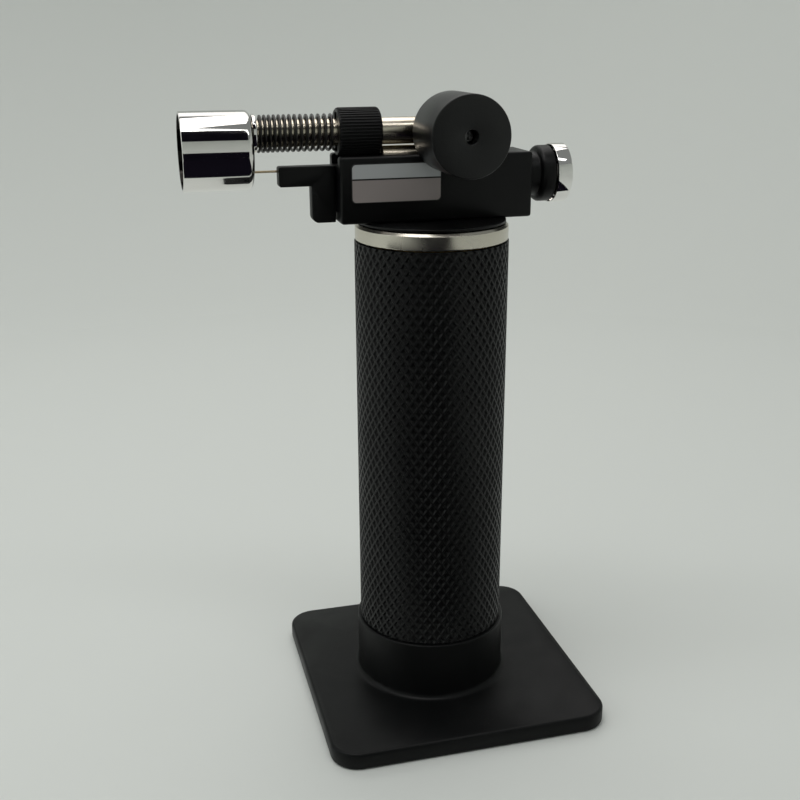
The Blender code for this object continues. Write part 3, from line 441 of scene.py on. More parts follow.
class GrowthTrees:
    """Geometry trees for what repeats on the torch."""

    @staticmethod
    def knurl() -> NodeTree:
        """Build the tree of a diamond net with a pit in each cell, wrapped round +Z."""
        tree, given, out = open_group(
            "diamond knurl",
            "GeometryNodeTree",
            {
                "Around": (WHOLE, 50),
                "Rows": (WHOLE, 30),
                "Cell Width": (FLOAT, 0.0022),
                "Cell Height": (FLOAT, 0.0031),
                "Pit Share": (FLOAT, 0.8),
                "Floor Share": (FLOAT, 0.5),
                "Depth": (FLOAT, 0.0004),
                "Radius": (FLOAT, 0.0175),
                "Finish": (MATERIAL, None),
            },
            {"Geometry": GEOMETRY},
        )
        put = given.outputs
        half_width = reckon(tree, "DIVIDE", put["Cell Width"], 2.0)
        half_height = reckon(tree, "DIVIDE", put["Cell Height"], 2.0)
        diamond = wire(tree, "GeometryNodeMeshCircle", {"Vertices": 4, "Radius": 1.0}, fill_type="NGON")
        scale = wire(tree, "ShaderNodeCombineXYZ", {0: half_width, 1: half_height, 2: 1.0})
        cell = wire(tree, "GeometryNodeTransform", {"Geometry": diamond, "Scale": scale})
        rim = wire(tree, "GeometryNodeExtrudeMesh", {"Mesh": cell, "Offset Scale": 0.0})
        shrunk = wire(
            tree,
            "GeometryNodeScaleElements",
            {"Geometry": rim.outputs["Mesh"], "Selection": rim.outputs["Top"], "Scale": put["Pit Share"]},
        )
        sink = wire(tree, "ShaderNodeCombineXYZ", {2: reckon(tree, "MULTIPLY", put["Depth"], -1.0)})
        pit = wire(
            tree,
            "GeometryNodeExtrudeMesh",
            {"Mesh": shrunk, "Selection": rim.outputs["Top"], "Offset": sink, "Offset Scale": 1.0},
        )
        bottom = wire(
            tree,
            "GeometryNodeScaleElements",
            {"Geometry": pit.outputs["Mesh"], "Selection": pit.outputs["Top"], "Scale": put["Floor Share"]},
        )
        across = reckon(tree, "MULTIPLY", put["Cell Width"], reckon(tree, "SUBTRACT", put["Around"], 1.0))
        upward = reckon(tree, "MULTIPLY", put["Cell Height"], reckon(tree, "SUBTRACT", put["Rows"], 1.0))
        lattice = wire(
            tree,
            "GeometryNodeMeshGrid",
            {"Size X": across, "Size Y": upward, "Vertices X": put["Around"], "Vertices Y": put["Rows"]},
        )
        shift = wire(tree, "ShaderNodeCombineXYZ", {0: half_width, 1: half_height})
        between = wire(tree, "GeometryNodeTransform", {"Geometry": lattice, "Translation": shift})
        joined = wire(tree, "GeometryNodeJoinGeometry", {0: lattice})
        tree.links.new(between.outputs[0], joined.inputs[0])
        copies = wire(tree, "GeometryNodeInstanceOnPoints", {"Points": joined, "Instance": bottom})
        flat = wire(tree, "GeometryNodeRealizeInstances", {"Geometry": copies})
        sheet = wire(tree, "GeometryNodeMergeByDistance", {"Geometry": flat, "Distance": WELD * 10})
        place = wire(tree, "ShaderNodeSeparateXYZ", {0: wire(tree, "GeometryNodeInputPosition")})
        girth = reckon(tree, "MULTIPLY", put["Cell Width"], put["Around"])
        angle = reckon(tree, "MULTIPLY", reckon(tree, "DIVIDE", place, girth), 2 * pi)
        radius = reckon(tree, "ADD", put["Radius"], place.outputs[2])
        wrapped = wire(
            tree,
            "ShaderNodeCombineXYZ",
            {
                0: reckon(tree, "MULTIPLY", radius, reckon(tree, "COSINE", angle)),
                1: reckon(tree, "MULTIPLY", radius, reckon(tree, "SINE", angle)),
                2: place.outputs[1],
            },
        )
        rolled = wire(tree, "GeometryNodeSetPosition", {"Geometry": sheet, "Position": wrapped})
        closed = wire(tree, "GeometryNodeMergeByDistance", {"Geometry": rolled, "Distance": WELD * 10})
        end_tree(tree, closed, given, out)
        return tree

    @staticmethod
    def ribs() -> NodeTree:
        """Build the tree of round-ended ribs that stand in a ring round +Z."""
        tree, given, out = open_group(
            "ring of ribs",
            "GeometryNodeTree",
            {
                "Count": (WHOLE, 46),
                "Ring Radius": (FLOAT, 0.005),
                "Length": (FLOAT, 0.008),
                "Thickness": (FLOAT, 0.0002),
                "Finish": (MATERIAL, None),
            },
            {"Geometry": GEOMETRY},
        )
        put = given.outputs
        end = wire(tree, "ShaderNodeCombineXYZ", {2: put["Length"]})
        line = wire(tree, "GeometryNodeCurvePrimitiveLine", {"End": end})
        cut = wire(tree, "GeometryNodeResampleCurve", {"Curve": line, "Count": 25})
        part = wire(tree, "GeometryNodeSplineParameter").outputs["Factor"]
        middle = reckon(tree, "ABSOLUTE", reckon(tree, "SUBTRACT", reckon(tree, "MULTIPLY", part, 2.0), 1.0))
        taper = reckon(tree, "SUBTRACT", 1.0, reckon(tree, "POWER", middle, 24.0))
        swell = reckon(tree, "MAXIMUM", reckon(tree, "SQRT", taper), 0.15)
        profile = wire(tree, "GeometryNodeCurvePrimitiveCircle", {"Resolution": 8, "Radius": put["Thickness"]})
        rib = wire(
            tree,
            "GeometryNodeCurveToMesh",
            {"Curve": cut, "Profile Curve": profile, "Scale": swell, "Fill Caps": True},
        )
        ring = wire(tree, "GeometryNodeMeshCircle", {"Vertices": put["Count"], "Radius": put["Ring Radius"]})
        copies = wire(tree, "GeometryNodeInstanceOnPoints", {"Points": ring, "Instance": rib})
        end_tree(tree, copies, given, out)
        return tree

    @staticmethod
    def coil() -> NodeTree:
        """Build the tree of a coil spring round +Z whose first turns lie closer."""
        tree, given, out = open_group(
            "coil spring",
            "GeometryNodeTree",
            {
                "Turns": (FLOAT, 14.0),
                "Facets": (WHOLE, 40),
                "Mean Radius": (FLOAT, 0.0036),
                "Length": (FLOAT, 0.017),
                "Wire Radius": (FLOAT, 0.0004),
                "Closing": (FLOAT, 0.0),
                "Finish": (MATERIAL, None),
            },
            {"Geometry": GEOMETRY},
        )
        put = given.outputs
        spiral = wire(
            tree,
            "GeometryNodeCurveSpiral",
            {
                "Resolution": put["Facets"],
                "Rotations": put["Turns"],
                "Start Radius": put["Mean Radius"],
                "End Radius": put["Mean Radius"],
                "Height": put["Length"],
            },
        )
        place = wire(tree, "ShaderNodeSeparateXYZ", {0: wire(tree, "GeometryNodeInputPosition")})
        part = reckon(tree, "DIVIDE", place.outputs[2], put["Length"])
        bow = reckon(tree, "MULTIPLY", put["Closing"], reckon(tree, "SINE", reckon(tree, "MULTIPLY", part, pi)))
        height = reckon(tree, "MULTIPLY", put["Length"], reckon(tree, "SUBTRACT", part, bow))
        lifted = wire(tree, "ShaderNodeCombineXYZ", {0: place, 1: place.outputs[1], 2: height})
        shaped = wire(tree, "GeometryNodeSetPosition", {"Geometry": spiral, "Position": lifted})
        profile = wire(tree, "GeometryNodeCurvePrimitiveCircle", {"Resolution": 12, "Radius": put["Wire Radius"]})
        rod = wire(
            tree, "GeometryNodeCurveToMesh", {"Curve": shaped, "Profile Curve": profile, "Fill Caps": True}
        )
        end_tree(tree, rod, given, out)
        return tree


# Finishes


class Effects:
    """Shader groups that several finishes share."""

    def __init__(self) -> None:
        """Build each group once."""
        self.grain = self._grain()
        self.smudge = self._smudge()
        self.dust = self._dust()
        self.lathe = self._lathe()

    def _grain(self) -> NodeTree:
        """Build a fine moulded grain: a height from two sizes of noise."""
        tree, given, out = open_group(
            "moulded grain", "ShaderNodeTree", {"Scale": (FLOAT, 2000.0), "Coarse": (FLOAT, 0.3)}, {"Height": FLOAT}
        )
        where = object_place(tree)
        fine = wire(tree, "ShaderNodeTexNoise", {"Vector": where, "Scale": given.outputs["Scale"], "Detail": 2.0})
        wide = reckon(tree, "MULTIPLY", given.outputs["Scale"], 0.2)
        coarse = wire(tree, "ShaderNodeTexNoise", {"Vector": where, "Scale": wide, "Detail": 2.0})
        part = reckon(tree, "MULTIPLY", coarse, given.outputs["Coarse"])
        tree.links.new(reckon(tree, "ADD", fine, part), out.inputs["Height"])
        return tree

    def _smudge(self) -> NodeTree:
        """Build slow patches between two values, for handled and wiped surfaces."""
        tree, given, out = open_group(
            "smudges",
            "ShaderNodeTree",
            {"Scale": (FLOAT, 90.0), "Low": (FLOAT, 0.3), "High": (FLOAT, 0.5)},
            {"Value": FLOAT},
        )
        where = object_place(tree)
        noise = wire(
            tree,
            "ShaderNodeTexNoise",
            {"Vector": where, "Scale": given.outputs["Scale"], "Detail": 4.0, "Distortion": 0.6},
        )
        spread = wire(
            tree,
            "ShaderNodeMapRange",
            {
                "Value": noise,
                "From Min": 0.3,
                "From Max": 0.7,
                "To Min": given.outputs["Low"],
                "To Max": given.outputs["High"],
            },
        )
        tree.links.new(spread.outputs[0], out.inputs["Value"])
        return tree

    def _dust(self) -> NodeTree:
        """Build scattered specks, mostly on faces that look up."""
        tree, given, out = open_group(
            "dust", "ShaderNodeTree", {"Scale": (FLOAT, 900.0), "Amount": (FLOAT, 0.1)}, {"Mask": FLOAT}
        )
        where = object_place(tree)
        cells = wire(tree, "ShaderNodeTexVoronoi", {"Vector": where, "Scale": given.outputs["Scale"]})
        patches = wire(tree, "ShaderNodeTexNoise", {"Vector": where, "Scale": 120.0, "Detail": 2.0})
        size = reckon(tree, "MULTIPLY", given.outputs["Amount"], patches)
        speck = reckon(tree, "LESS_THAN", cells.outputs["Distance"], size)
        normal = wire(tree, "ShaderNodeNewGeometry").outputs["Normal"]
        upward = wire(tree, "ShaderNodeSeparateXYZ", {0: normal}).outputs[2]
        facing = wire(tree, "ShaderNodeMapRange", {"Value": upward, "From Min": -0.2, "To Min": 0.15})
        tree.links.new(reckon(tree, "MULTIPLY", speck, facing), out.inputs["Mask"])
        return tree

    def _lathe(self) -> NodeTree:
        """Build fine turning marks: a height that changes only along one direction."""
        tree, given, out = open_group(
            "turning marks",
            "ShaderNodeTree",
            {"Along": (VECTOR, (0.0, 0.0, 1.0)), "Scale": (FLOAT, 6000.0)},
            {"Height": FLOAT},
        )
        where = object_place(tree)
        run = wire(tree, "ShaderNodeVectorMath", {0: where, 1: given.outputs["Along"]}, operation="MULTIPLY")
        noise = wire(
            tree, "ShaderNodeTexNoise", {"Vector": run, "Scale": given.outputs["Scale"], "Detail": 3.0}
        )
        tree.links.new(noise.outputs[0], out.inputs["Height"])
        return tree


def start_material(name: str) -> tuple[Material, NodeTree, Node]:
    """Make a material and return it with its tree and its shader."""
    made = bpy.data.materials.new(name)
    made.use_nodes = True
    tree = made.node_tree
    return made, tree, tree.nodes["Principled BSDF"]


def apply_group(tree: NodeTree, group: NodeTree, values: dict[str, Any]) -> Socket:
    """Place a shared group with its own values and return its first output."""
    node = tree.nodes.new("ShaderNodeGroup")
    node.node_tree = group
    for key, value in values.items():
        node.inputs[key].default_value = value
    return node.outputs[0]


def raise_surface(tree: NodeTree, shader: Node, height: Any, depth: float) -> None:
    """Feed a height through a Bump node to the shader's normal."""
    bump = wire(tree, "ShaderNodeBump", {"Height": height, "Distance": depth, "Strength": 1.0})
    tree.links.new(bump.outputs[0], shader.inputs["Normal"])


def blended(tree: NodeTree, mask: Any, low: Colour, high: Colour) -> Socket:
    """Mix two colours by a mask."""
    mix = wire(tree, "ShaderNodeMix", {0: mask, 6: (*low, 1.0), 7: (*high, 1.0)}, data_type="RGBA")
    return mix.outputs[2]


@dataclass(frozen=True)
class Moulding:
    """Moulded plastic, rubber or coating: a dull colour with grain, smudges and a little dust."""

    name: str
    colour: Colour
    dusty: Colour
    low_gloss: float
    high_gloss: float
    grain: float = 2500.0
    relief: float = 0.00002
    dust: float = 0.12
    sheen: float = 0.5

    def material(self, effects: Effects) -> Material:
        """Build the material."""
        made, tree, shader = start_material(self.name)
        specks = apply_group(tree, effects.dust, {"Amount": self.dust})
        tree.links.new(blended(tree, specks, self.colour, self.dusty), shader.inputs["Base Color"])
        gloss = apply_group(tree, effects.smudge, {"Low": self.low_gloss, "High": self.high_gloss})
        tree.links.new(gloss, shader.inputs["Roughness"])
        raise_surface(tree, shader, apply_group(tree, effects.grain, {"Scale": self.grain}), self.relief)
        shader.inputs["Specular IOR Level"].default_value = self.sheen
        return made


@dataclass(frozen=True)
class Bore:
    """The inside of a burner shell along X, darkened with painted shade."""

    height: float
    radius: float
    # Painted shade: the dark colour painted inside the bore, where shade falls.
    bore_shade: Colour = (0.012, 0.011, 0.01)

    def mask(self, tree: NodeTree) -> Socket:
        """Return one inside the bore's radius and zero outside it."""
        split = wire(tree, "ShaderNodeSeparateXYZ", {0: object_place(tree)})
        rise = reckon(tree, "SUBTRACT", split.outputs[2], self.height)
        squares = [reckon(tree, "MULTIPLY", side, side) for side in (split.outputs[1], rise)]
        return reckon(tree, "LESS_THAN", reckon(tree, "ADD", *squares), self.radius**2)


@dataclass(frozen=True)
class TurnedMetal:
    """Turned or plated metal: turning marks, smudged gloss and a faint second tone."""

    name: str
    colour: Colour
    tone: Colour
    low_gloss: float
    high_gloss: float
    along: Colour = (0.0, 0.0, 1.0)
    marks: float = 9000.0
    relief: float = 0.000002
    bore: Bore | None = None

    def material(self, effects: Effects) -> Material:
        """Build the material."""
        made, tree, shader = start_material(self.name)
        patches = apply_group(tree, effects.smudge, {"Scale": 60.0, "Low": 0.0, "High": 1.0})
        surface = blended(tree, patches, self.colour, self.tone)
        if self.bore:
            # Painted shade: darken the colour inside the bore's radius.
            shaded_inside = self.bore.mask(tree)
            surface = wire(
                tree, "ShaderNodeMix", {0: shaded_inside, 6: surface, 7: (*self.bore.bore_shade, 1.0)}, data_type="RGBA"
            ).outputs[2]
        tree.links.new(surface, shader.inputs["Base Color"])
        gloss = apply_group(tree, effects.smudge, {"Low": self.low_gloss, "High": self.high_gloss})
        tree.links.new(gloss, shader.inputs["Roughness"])
        height = apply_group(tree, effects.lathe, {"Along": self.along, "Scale": self.marks})
        raise_surface(tree, shader, height, self.relief)
        shader.inputs["Metallic"].default_value = 1.0
        return made


@dataclass(frozen=True)
class LabelPrint:
    """The label's satin plate: a pale strip over a darker panel, with black lines between."""

    name: str
    split: float
    low: Vector
    high: Vector
    strip: Colour = (0.4, 0.41, 0.42)
    panel: Colour = (0.27, 0.235, 0.23)
    line: Colour = (0.01, 0.01, 0.01)
    line_half: float = 0.17 * MM
    border: float = 0.15 * MM
    corner: float = 0.9 * MM

    def _inside(self, tree: NodeTree, place: Node) -> Socket:
        """Return one inside the rounded printed area and zero on its border."""
        parts = []
        for low, high, output in ((self.low.x, self.high.x, 0), (self.low.z, self.high.z, 2)):
            flat = (high - low) / 2 - self.border - self.corner
            off = reckon(tree, "ABSOLUTE", reckon(tree, "SUBTRACT", place.outputs[output], (low + high) / 2))
            past = reckon(tree, "MAXIMUM", reckon(tree, "SUBTRACT", off, flat), 0.0)
            parts.append(reckon(tree, "MULTIPLY", past, past))
        return reckon(tree, "LESS_THAN", reckon(tree, "ADD", *parts), self.corner**2)

    def material(self, effects: Effects) -> Material:
        """Build the material."""
        made, tree, shader = start_material(self.name)
        split = wire(tree, "ShaderNodeSeparateXYZ", {0: object_place(tree)})
        upper = reckon(tree, "GREATER_THAN", split.outputs[2], self.split)
        field_colour = blended(tree, upper, self.panel, self.strip)
        far = reckon(tree, "ABSOLUTE", reckon(tree, "SUBTRACT", split.outputs[2], self.split))
        off_line = reckon(tree, "GREATER_THAN", far, self.line_half)
        printed = reckon(tree, "MULTIPLY", off_line, self._inside(tree, split))
        mix = wire(tree, "ShaderNodeMix", {0: printed, 6: (*self.line, 1.0), 7: field_colour}, data_type="RGBA")
        tree.links.new(mix.outputs[2], shader.inputs["Base Color"])
        gloss = apply_group(tree, effects.smudge, {"Low": 0.36, "High": 0.5})
        tree.links.new(gloss, shader.inputs["Roughness"])
        height = apply_group(tree, effects.lathe, {"Along": (0.02, 0.0, 1.0), "Scale": 7000.0})
        raise_surface(tree, shader, height, 0.000002)
        shader.inputs["Metallic"].default_value = 0.25
        return made


class Finishes:
    """Every finish of the torch with its record's slot, built once."""

    def __init__(self, label: Span, split: float, nozzle: Span) -> None:
        """Build the materials.

        Args:
            label: The label's box.
            split: The height of the line across the label.
            nozzle: The nozzle's box.
        """
        black, grey = (0.0026, 0.0028, 0.003), (0.03, 0.03, 0.03)
        coat, forward = (0.003, 0.0033, 0.0035), (1.0, 0.0, 0.0)
        chrome = ((0.86, 0.85, 0.83), (0.82, 0.8, 0.77), 0.03, 0.07, forward)
        # Painted shade inside the nozzle's bore.
        bore = Bore(nozzle.middle.z, nozzle.size.z / 2 - 0.35 * MM)
        specs = {
            "foot": (
                "black_plastic",
                Moulding("foot_plastic", (0.0035, 0.0038, 0.004), grey, 0.34, 0.48, sheen=0.16),
            ),
            "head": ("black_plastic", Moulding("head_plastic", black, grey, 0.34, 0.46, dust=0.05, sheen=0.2)),
            "knob": ("black_plastic", Moulding("knob_plastic", black, grey, 0.3, 0.42, dust=0.04, sheen=0.42)),
            "handle": (
                "handle_coating",
                Moulding("handle_coating", coat, grey, 0.34, 0.48, relief=0.00001, dust=0.04, sheen=0.32),
            ),
            "nickel": ("nickel", TurnedMetal("satin_nickel", (0.66, 0.62, 0.53), (0.6, 0.57, 0.5), 0.2, 0.3)),
            "tube": (
                "nickel",
                TurnedMetal("tube_nickel", (0.7, 0.64, 0.53), (0.6, 0.53, 0.42), 0.17, 0.28, forward),
            ),
            "chrome": ("chrome", TurnedMetal("bright_chrome", *chrome, relief=0.0000004)),
            "nozzle": ("chrome", TurnedMetal("nozzle_chrome", *chrome, relief=0.0000004, bore=bore)),
            "spring": (
                "spring_steel",
                TurnedMetal("spring_wire", (0.075, 0.072, 0.07), (0.04, 0.038, 0.036), 0.25, 0.4),
            ),
            "screw": ("spring_steel", TurnedMetal("screw_steel", (0.2, 0.2, 0.2), (0.14, 0.14, 0.14), 0.3, 0.42)),
            "electrode": (
                "electrode_wire",
                TurnedMetal("electrode_wire", (0.62, 0.5, 0.33), (0.5, 0.38, 0.24), 0.28, 0.4, forward),
            ),
            "brass": ("brass", TurnedMetal("turned_brass", (0.66, 0.47, 0.2), (0.58, 0.4, 0.17), 0.24, 0.38)),
            "aluminium": (
                "aluminium", TurnedMetal("tank_aluminium", (0.62, 0.63, 0.64), (0.55, 0.56, 0.57), 0.3, 0.45)
            ),
            "rubber": ("seal_rubber", Moulding("seal_rubber", (0.012, 0.012, 0.012), grey, 0.6, 0.75, sheen=0.3)),
            "felt": ("felt", Moulding("wick_felt", (0.6, 0.57, 0.5), (0.5, 0.47, 0.4), 0.9, 1.0, relief=0.0002)),
            "white": (
                "white_plastic",
                Moulding("natural_plastic", (0.7, 0.69, 0.64), (0.6, 0.6, 0.55), 0.35, 0.45),
            ),
            "red": (
                "lead_insulation",
                Moulding("lead_insulation", (0.36, 0.03, 0.02), (0.3, 0.1, 0.08), 0.35, 0.45),
            ),
            "label": ("label", LabelPrint("label_print", split, label.low, label.high)),
        }
        effects = Effects()
        self.slots = {key: slot for key, (slot, _) in specs.items()}
        self.made = {key: spec.material(effects) for key, (_, spec) in specs.items()}


# The torch's sub-assemblies


@dataclass
class Assembly:
    """A sub-assembly of the torch, with the finishes that its pieces wear."""

    finishes: Finishes

    def settle(self, piece: Piece, finish: str, *nodes: str, body: Body = Body.TORCH) -> None:
        """Dress a finished piece and put it on its body.

        Args:
            piece: The finished piece.
            finish: Its finish, which also gives its slot.
            nodes: The CAD nodes that it stands for.
            body: The body that it rides on.
        """
        piece.data.materials.clear()
        piece.data.materials.append(self.finishes.made[finish])
        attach(piece, body.value)
        if nodes:
            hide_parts(*nodes)
        LOG.info("%s: %d faces on %s", piece.name, len(piece.data.polygons), body.value)

    def spun(
        self,
        name: str,
        finish: str,
        node: str,
        rows: Outline,
        axis: Axis = Axis.UP,
        steps: int = 160,
        body: Body = Body.TORCH,
    ) -> None:
        """Turn a piece in place of a CAD node.

        Args:
            name: The piece's name.
            finish: Its finish.
            node: The CAD node.
            rows: Its outline as (radius, along, fillet).
            axis: Its direction. UP turns it round the world's +Z, others start at the face of the node's box.
            steps: How many facets go round.
            body: The body that it rides on.
        """
        start = Vector() if axis is Axis.UP else Span.of(node).end(axis, -1)
        self.settle(turned(name, rows, axis, start, steps), finish, node, body=body)

    def cast(
        self, name: str, finish: str, node: str, crease: float, soft: float, segments: int, angle: float
    ) -> None:
        """Copy a CAD node with softened edges, in place of it.

        Args:
            name: The piece's name.
            finish: Its finish.
            node: The CAD node.
            crease: Edges over this angle in degrees stay sharp.
            soft: The width of the rounding.
            segments: How many facets the rounding has.
            angle: Only edges over this angle in degrees are rounded.
        """
        self.settle(softened(recast(node, name, crease), soft, segments, angle), finish, node)

    def screwed(
        self, name: str, node: str, axis: Axis, head: Point2, cross: Point2, body: Body = Body.TORCH
    ) -> None:
        """Turn a screw with a domed head and cut its cross.

        Args:
            name: The piece's name.
            node: The CAD node that it stands for.
            axis: The direction that its head faces.
            head: The head's depth and the rounding of its dome.
            cross: Half the width of an arm of the cross, and its depth.
            body: The body that it rides on.
        """
        span = Span.of(node)
        radius, shank, length = span.size.x / 2, 0.8 * MM, span.size.y
        depth, dome = head
        at = span.end(axis, 1)
        rows = [
            (0, 0),
            (radius, 0, dome),
            (radius, -depth, 0.1 * MM),
            (shank, -depth),
            (shank, -length, 0.2 * MM),
            (0, -length),
        ]
        screw = turned(name, rows, axis, at, 48)
        cross_cut(screw, at, radius * 0.68, *cross)
        self.settle(screw, "screw", node, body=body)

    def coiled(
        self, name: str, node: str, axis: Axis, centre: Vector, wire_radius: float, values: dict[str, float]
    ) -> Piece:
        """Coil a spring in place of a CAD node.

        Args:
            name: The piece's name.
            node: The CAD node that it stands for.
            axis: The spring's direction, along +X or +Z.
            centre: A point on its axis.
            wire_radius: The wire's radius.
            values: The tree's other inputs by name.

        Returns:
            The spring.
        """
        span, along = Span.of(node), Vector(axis.value)
        given = {"Length": span.size.dot(along) - 2 * wire_radius, "Wire Radius": wire_radius, "Closing": 0.0}
        spring = grown(name, GrowthTrees.coil(), given | values)
        start = [low + wire_radius if step else middle for low, middle, step in zip(span.low, centre, along)]
        spring.data.transform(Matrix.Translation(start) @ axis.turn)
        self.settle(spring, "spring", node)
        return spring


@dataclass
class StandFoot(Assembly):
    """The square foot with its socket, one moulding."""

    corner: float = 6.5 * MM
    thickness: float = 4.3 * MM
    edge: float = 0.7 * MM
    socket_radius: float = 18.2 * MM
    socket_bore: float = 16.5 * MM
    socket_floor: float = 3.0 * MM
    fillet: float = 1.3 * MM
    lip: float = 0.35 * MM

    def build(self) -> None:
        """Build the plate, join the socket and hollow it."""
        span = Span.of("stand_foot")
        plate = softened(self._plate(span), self.edge)
        top = span.high.z
        skirt = self.thickness - self.edge
        outer, bore = self.socket_radius, self.socket_bore
        socket = [
            (0, top - self.edge),
            (outer, top - self.edge, 0),
            (outer, self.thickness, self.fillet),
            (outer + 2 * self.fillet, self.thickness),
            (outer + 2 * self.fillet, skirt),
            (0, skirt),
        ]
        rim = [
            (bore - self.edge, top - 2 * self.edge),
            (bore - self.edge, top),
            (outer, top, self.lip),
            (outer, top - 2 * self.edge),
        ]
        hollow = [
            (0, top + self.edge),
            (bore + 2 * self.lip, top + self.edge),
            (bore + self.lip, top),
            (bore, top - self.lip),
            (bore, self.socket_floor),
            (0, self.socket_floor),
        ]
        shapes = [turned("socket_part", rows, Axis.UP, Vector(), 160) for rows in (socket, rim, hollow)]
        combined(plate, shapes[:2], "UNION")
        combined(plate, shapes[2:], "DIFFERENCE")
        self.settle(plate, "foot", "stand_foot", body=Body.STAND)

    def _plate(self, span: Span) -> Piece:
        """Return the plate with its round corners, edges still sharp."""
        half = (span.high.x - span.low.x) / 2
        corners = [Corner(x * half, y * half, self.corner) for x, y in ((1, 1), (-1, 1), (-1, -1), (1, -1))]
        outline = rounded(corners, steps=12)
        at = Vector((span.middle.x, span.middle.y, 0))
        return prism("stand_foot_moulding", outline, 0, self.thickness, Axis.UP, at)


@dataclass
class Handle(Assembly):
    """The knurled handle, the nickel ring and the flange above it."""

    cells_around: int = 50
    cell_height: float = 3.1 * MM
    pit_share: float = 0.8
    floor_share: float = 0.5
    pit_depth: float = 0.42 * MM
    inner_radius: float = 16.6 * MM
    ring_soft: float = 0.3 * MM
    ring_chamfer: float = 0.55 * MM
    flange_thickness: float = 0.6 * MM
    neck: float = 3.7 * MM
    neck_lip: float = 4.6 * MM
    neck_lip_height: float = 1.2 * MM

    def build(self) -> None:
        """Build the sleeve, the ring, the flange and the ring under the tank."""
        self._sleeve()
        self._ring()
        self._flange()
        span = Span.of("base_ring")
        inner = span.high.x - 3.6 * MM
        rows = [
            (span.high.x, span.low.z, 0.5 * MM),
            (span.high.x, span.high.z, 0.2 * MM),
            (inner, span.high.z, 0.2 * MM),
            (inner, span.low.z, 0.5 * MM),
        ]
        self.spun("tank_base_ring", "foot", "base_ring", rows, steps=128)

    def _sleeve(self) -> None:
        """Grow the knurl, trim it to length and give it its inner wall."""
        span = Span.of("handle_sleeve")
        outer = span.high.x
        values = {
            "Around": self.cells_around,
            "Rows": int(span.size.z / self.cell_height) + 3,
            "Cell Width": 2 * pi * outer / self.cells_around,
            "Cell Height": self.cell_height,
            "Pit Share": self.pit_share,
            "Floor Share": self.floor_share,
            "Depth": self.pit_depth,
            "Radius": outer,
        }
        sleeve = grown("handle_knurl", GrowthTrees.knurl(), values)
        shape = bmesh.new()
        shape.from_mesh(sleeve.data)
        bmesh.ops.translate(shape, vec=(0, 0, span.middle.z), verts=shape.verts)
        for height, side in ((span.low.z, -1), (span.high.z, 1)):
            geometry = [*shape.verts, *shape.edges, *shape.faces]
            bmesh.ops.bisect_plane(
                shape, geom=geometry, dist=WELD, plane_co=(0, 0, height), plane_no=(0, 0, side), clear_outer=True
            )
        bmesh.ops.remove_doubles(shape, verts=shape.verts, dist=WELD * 20)
        rims = [edge for edge in shape.edges if edge.is_boundary]
        inner = bmesh.ops.extrude_edge_only(shape, edges=rims)["geom"]
        for vertex in (part for part in inner if isinstance(part, bmesh.types.BMVert)):
            flat = Vector((vertex.co.x, vertex.co.y, 0)).normalized() * self.inner_radius
            vertex.co = (flat.x, flat.y, vertex.co.z)
        loops = [part for part in inner if isinstance(part, bmesh.types.BMEdge)]
        bmesh.ops.bridge_loops(shape, edges=loops)
        bmesh.ops.recalc_face_normals(shape, faces=shape.faces)
        shape.to_mesh(sleeve.data)
        shape.free()
        sleeve.data.shade_smooth()
        sleeve.data.set_sharp_from_angle(angle=radians(24))
        self.settle(sleeve, "handle", "handle_sleeve")

    def _ring(self) -> None:
        """Turn the nickel ring with its bevelled top rim."""
        span = Span.of("handle_ring")
        inner = Span.of("tank_top_plug").high.x - 3.8 * MM
        low, high, outer = span.low.z, span.high.z, span.high.x
        rows = [
            (outer, low, self.ring_soft),
            (outer, high - self.ring_chamfer, 0.12 * MM),
            (outer - self.ring_chamfer, high, 0.12 * MM),
            (inner, high),
            (inner, low),
        ]
        self.spun("nickel_ring", "nickel", "handle_ring", rows, steps=192)

    def _flange(self) -> None:
        """Turn the flange and the neck that the head clamps."""
        span = Span.of("neck_flange")
        bore = Span.of("gas_feed_pipe").size.x / 2 + 0.3 * MM
        face, lip_low = span.low.z + self.flange_thickness, span.high.z - self.neck_lip_height
        rows = [
            (span.high.x, span.low.z, 0.1 * MM),
            (span.high.x, face, 0.2 * MM),
            (self.neck, face, 0.15 * MM),
            (self.neck, lip_low),
            (self.neck_lip, lip_low),
            (self.neck_lip, span.high.z),
            (bore, span.high.z),
            (bore, span.low.z),
        ]
        self.spun("neck_and_flange", "head", "neck_flange", rows)


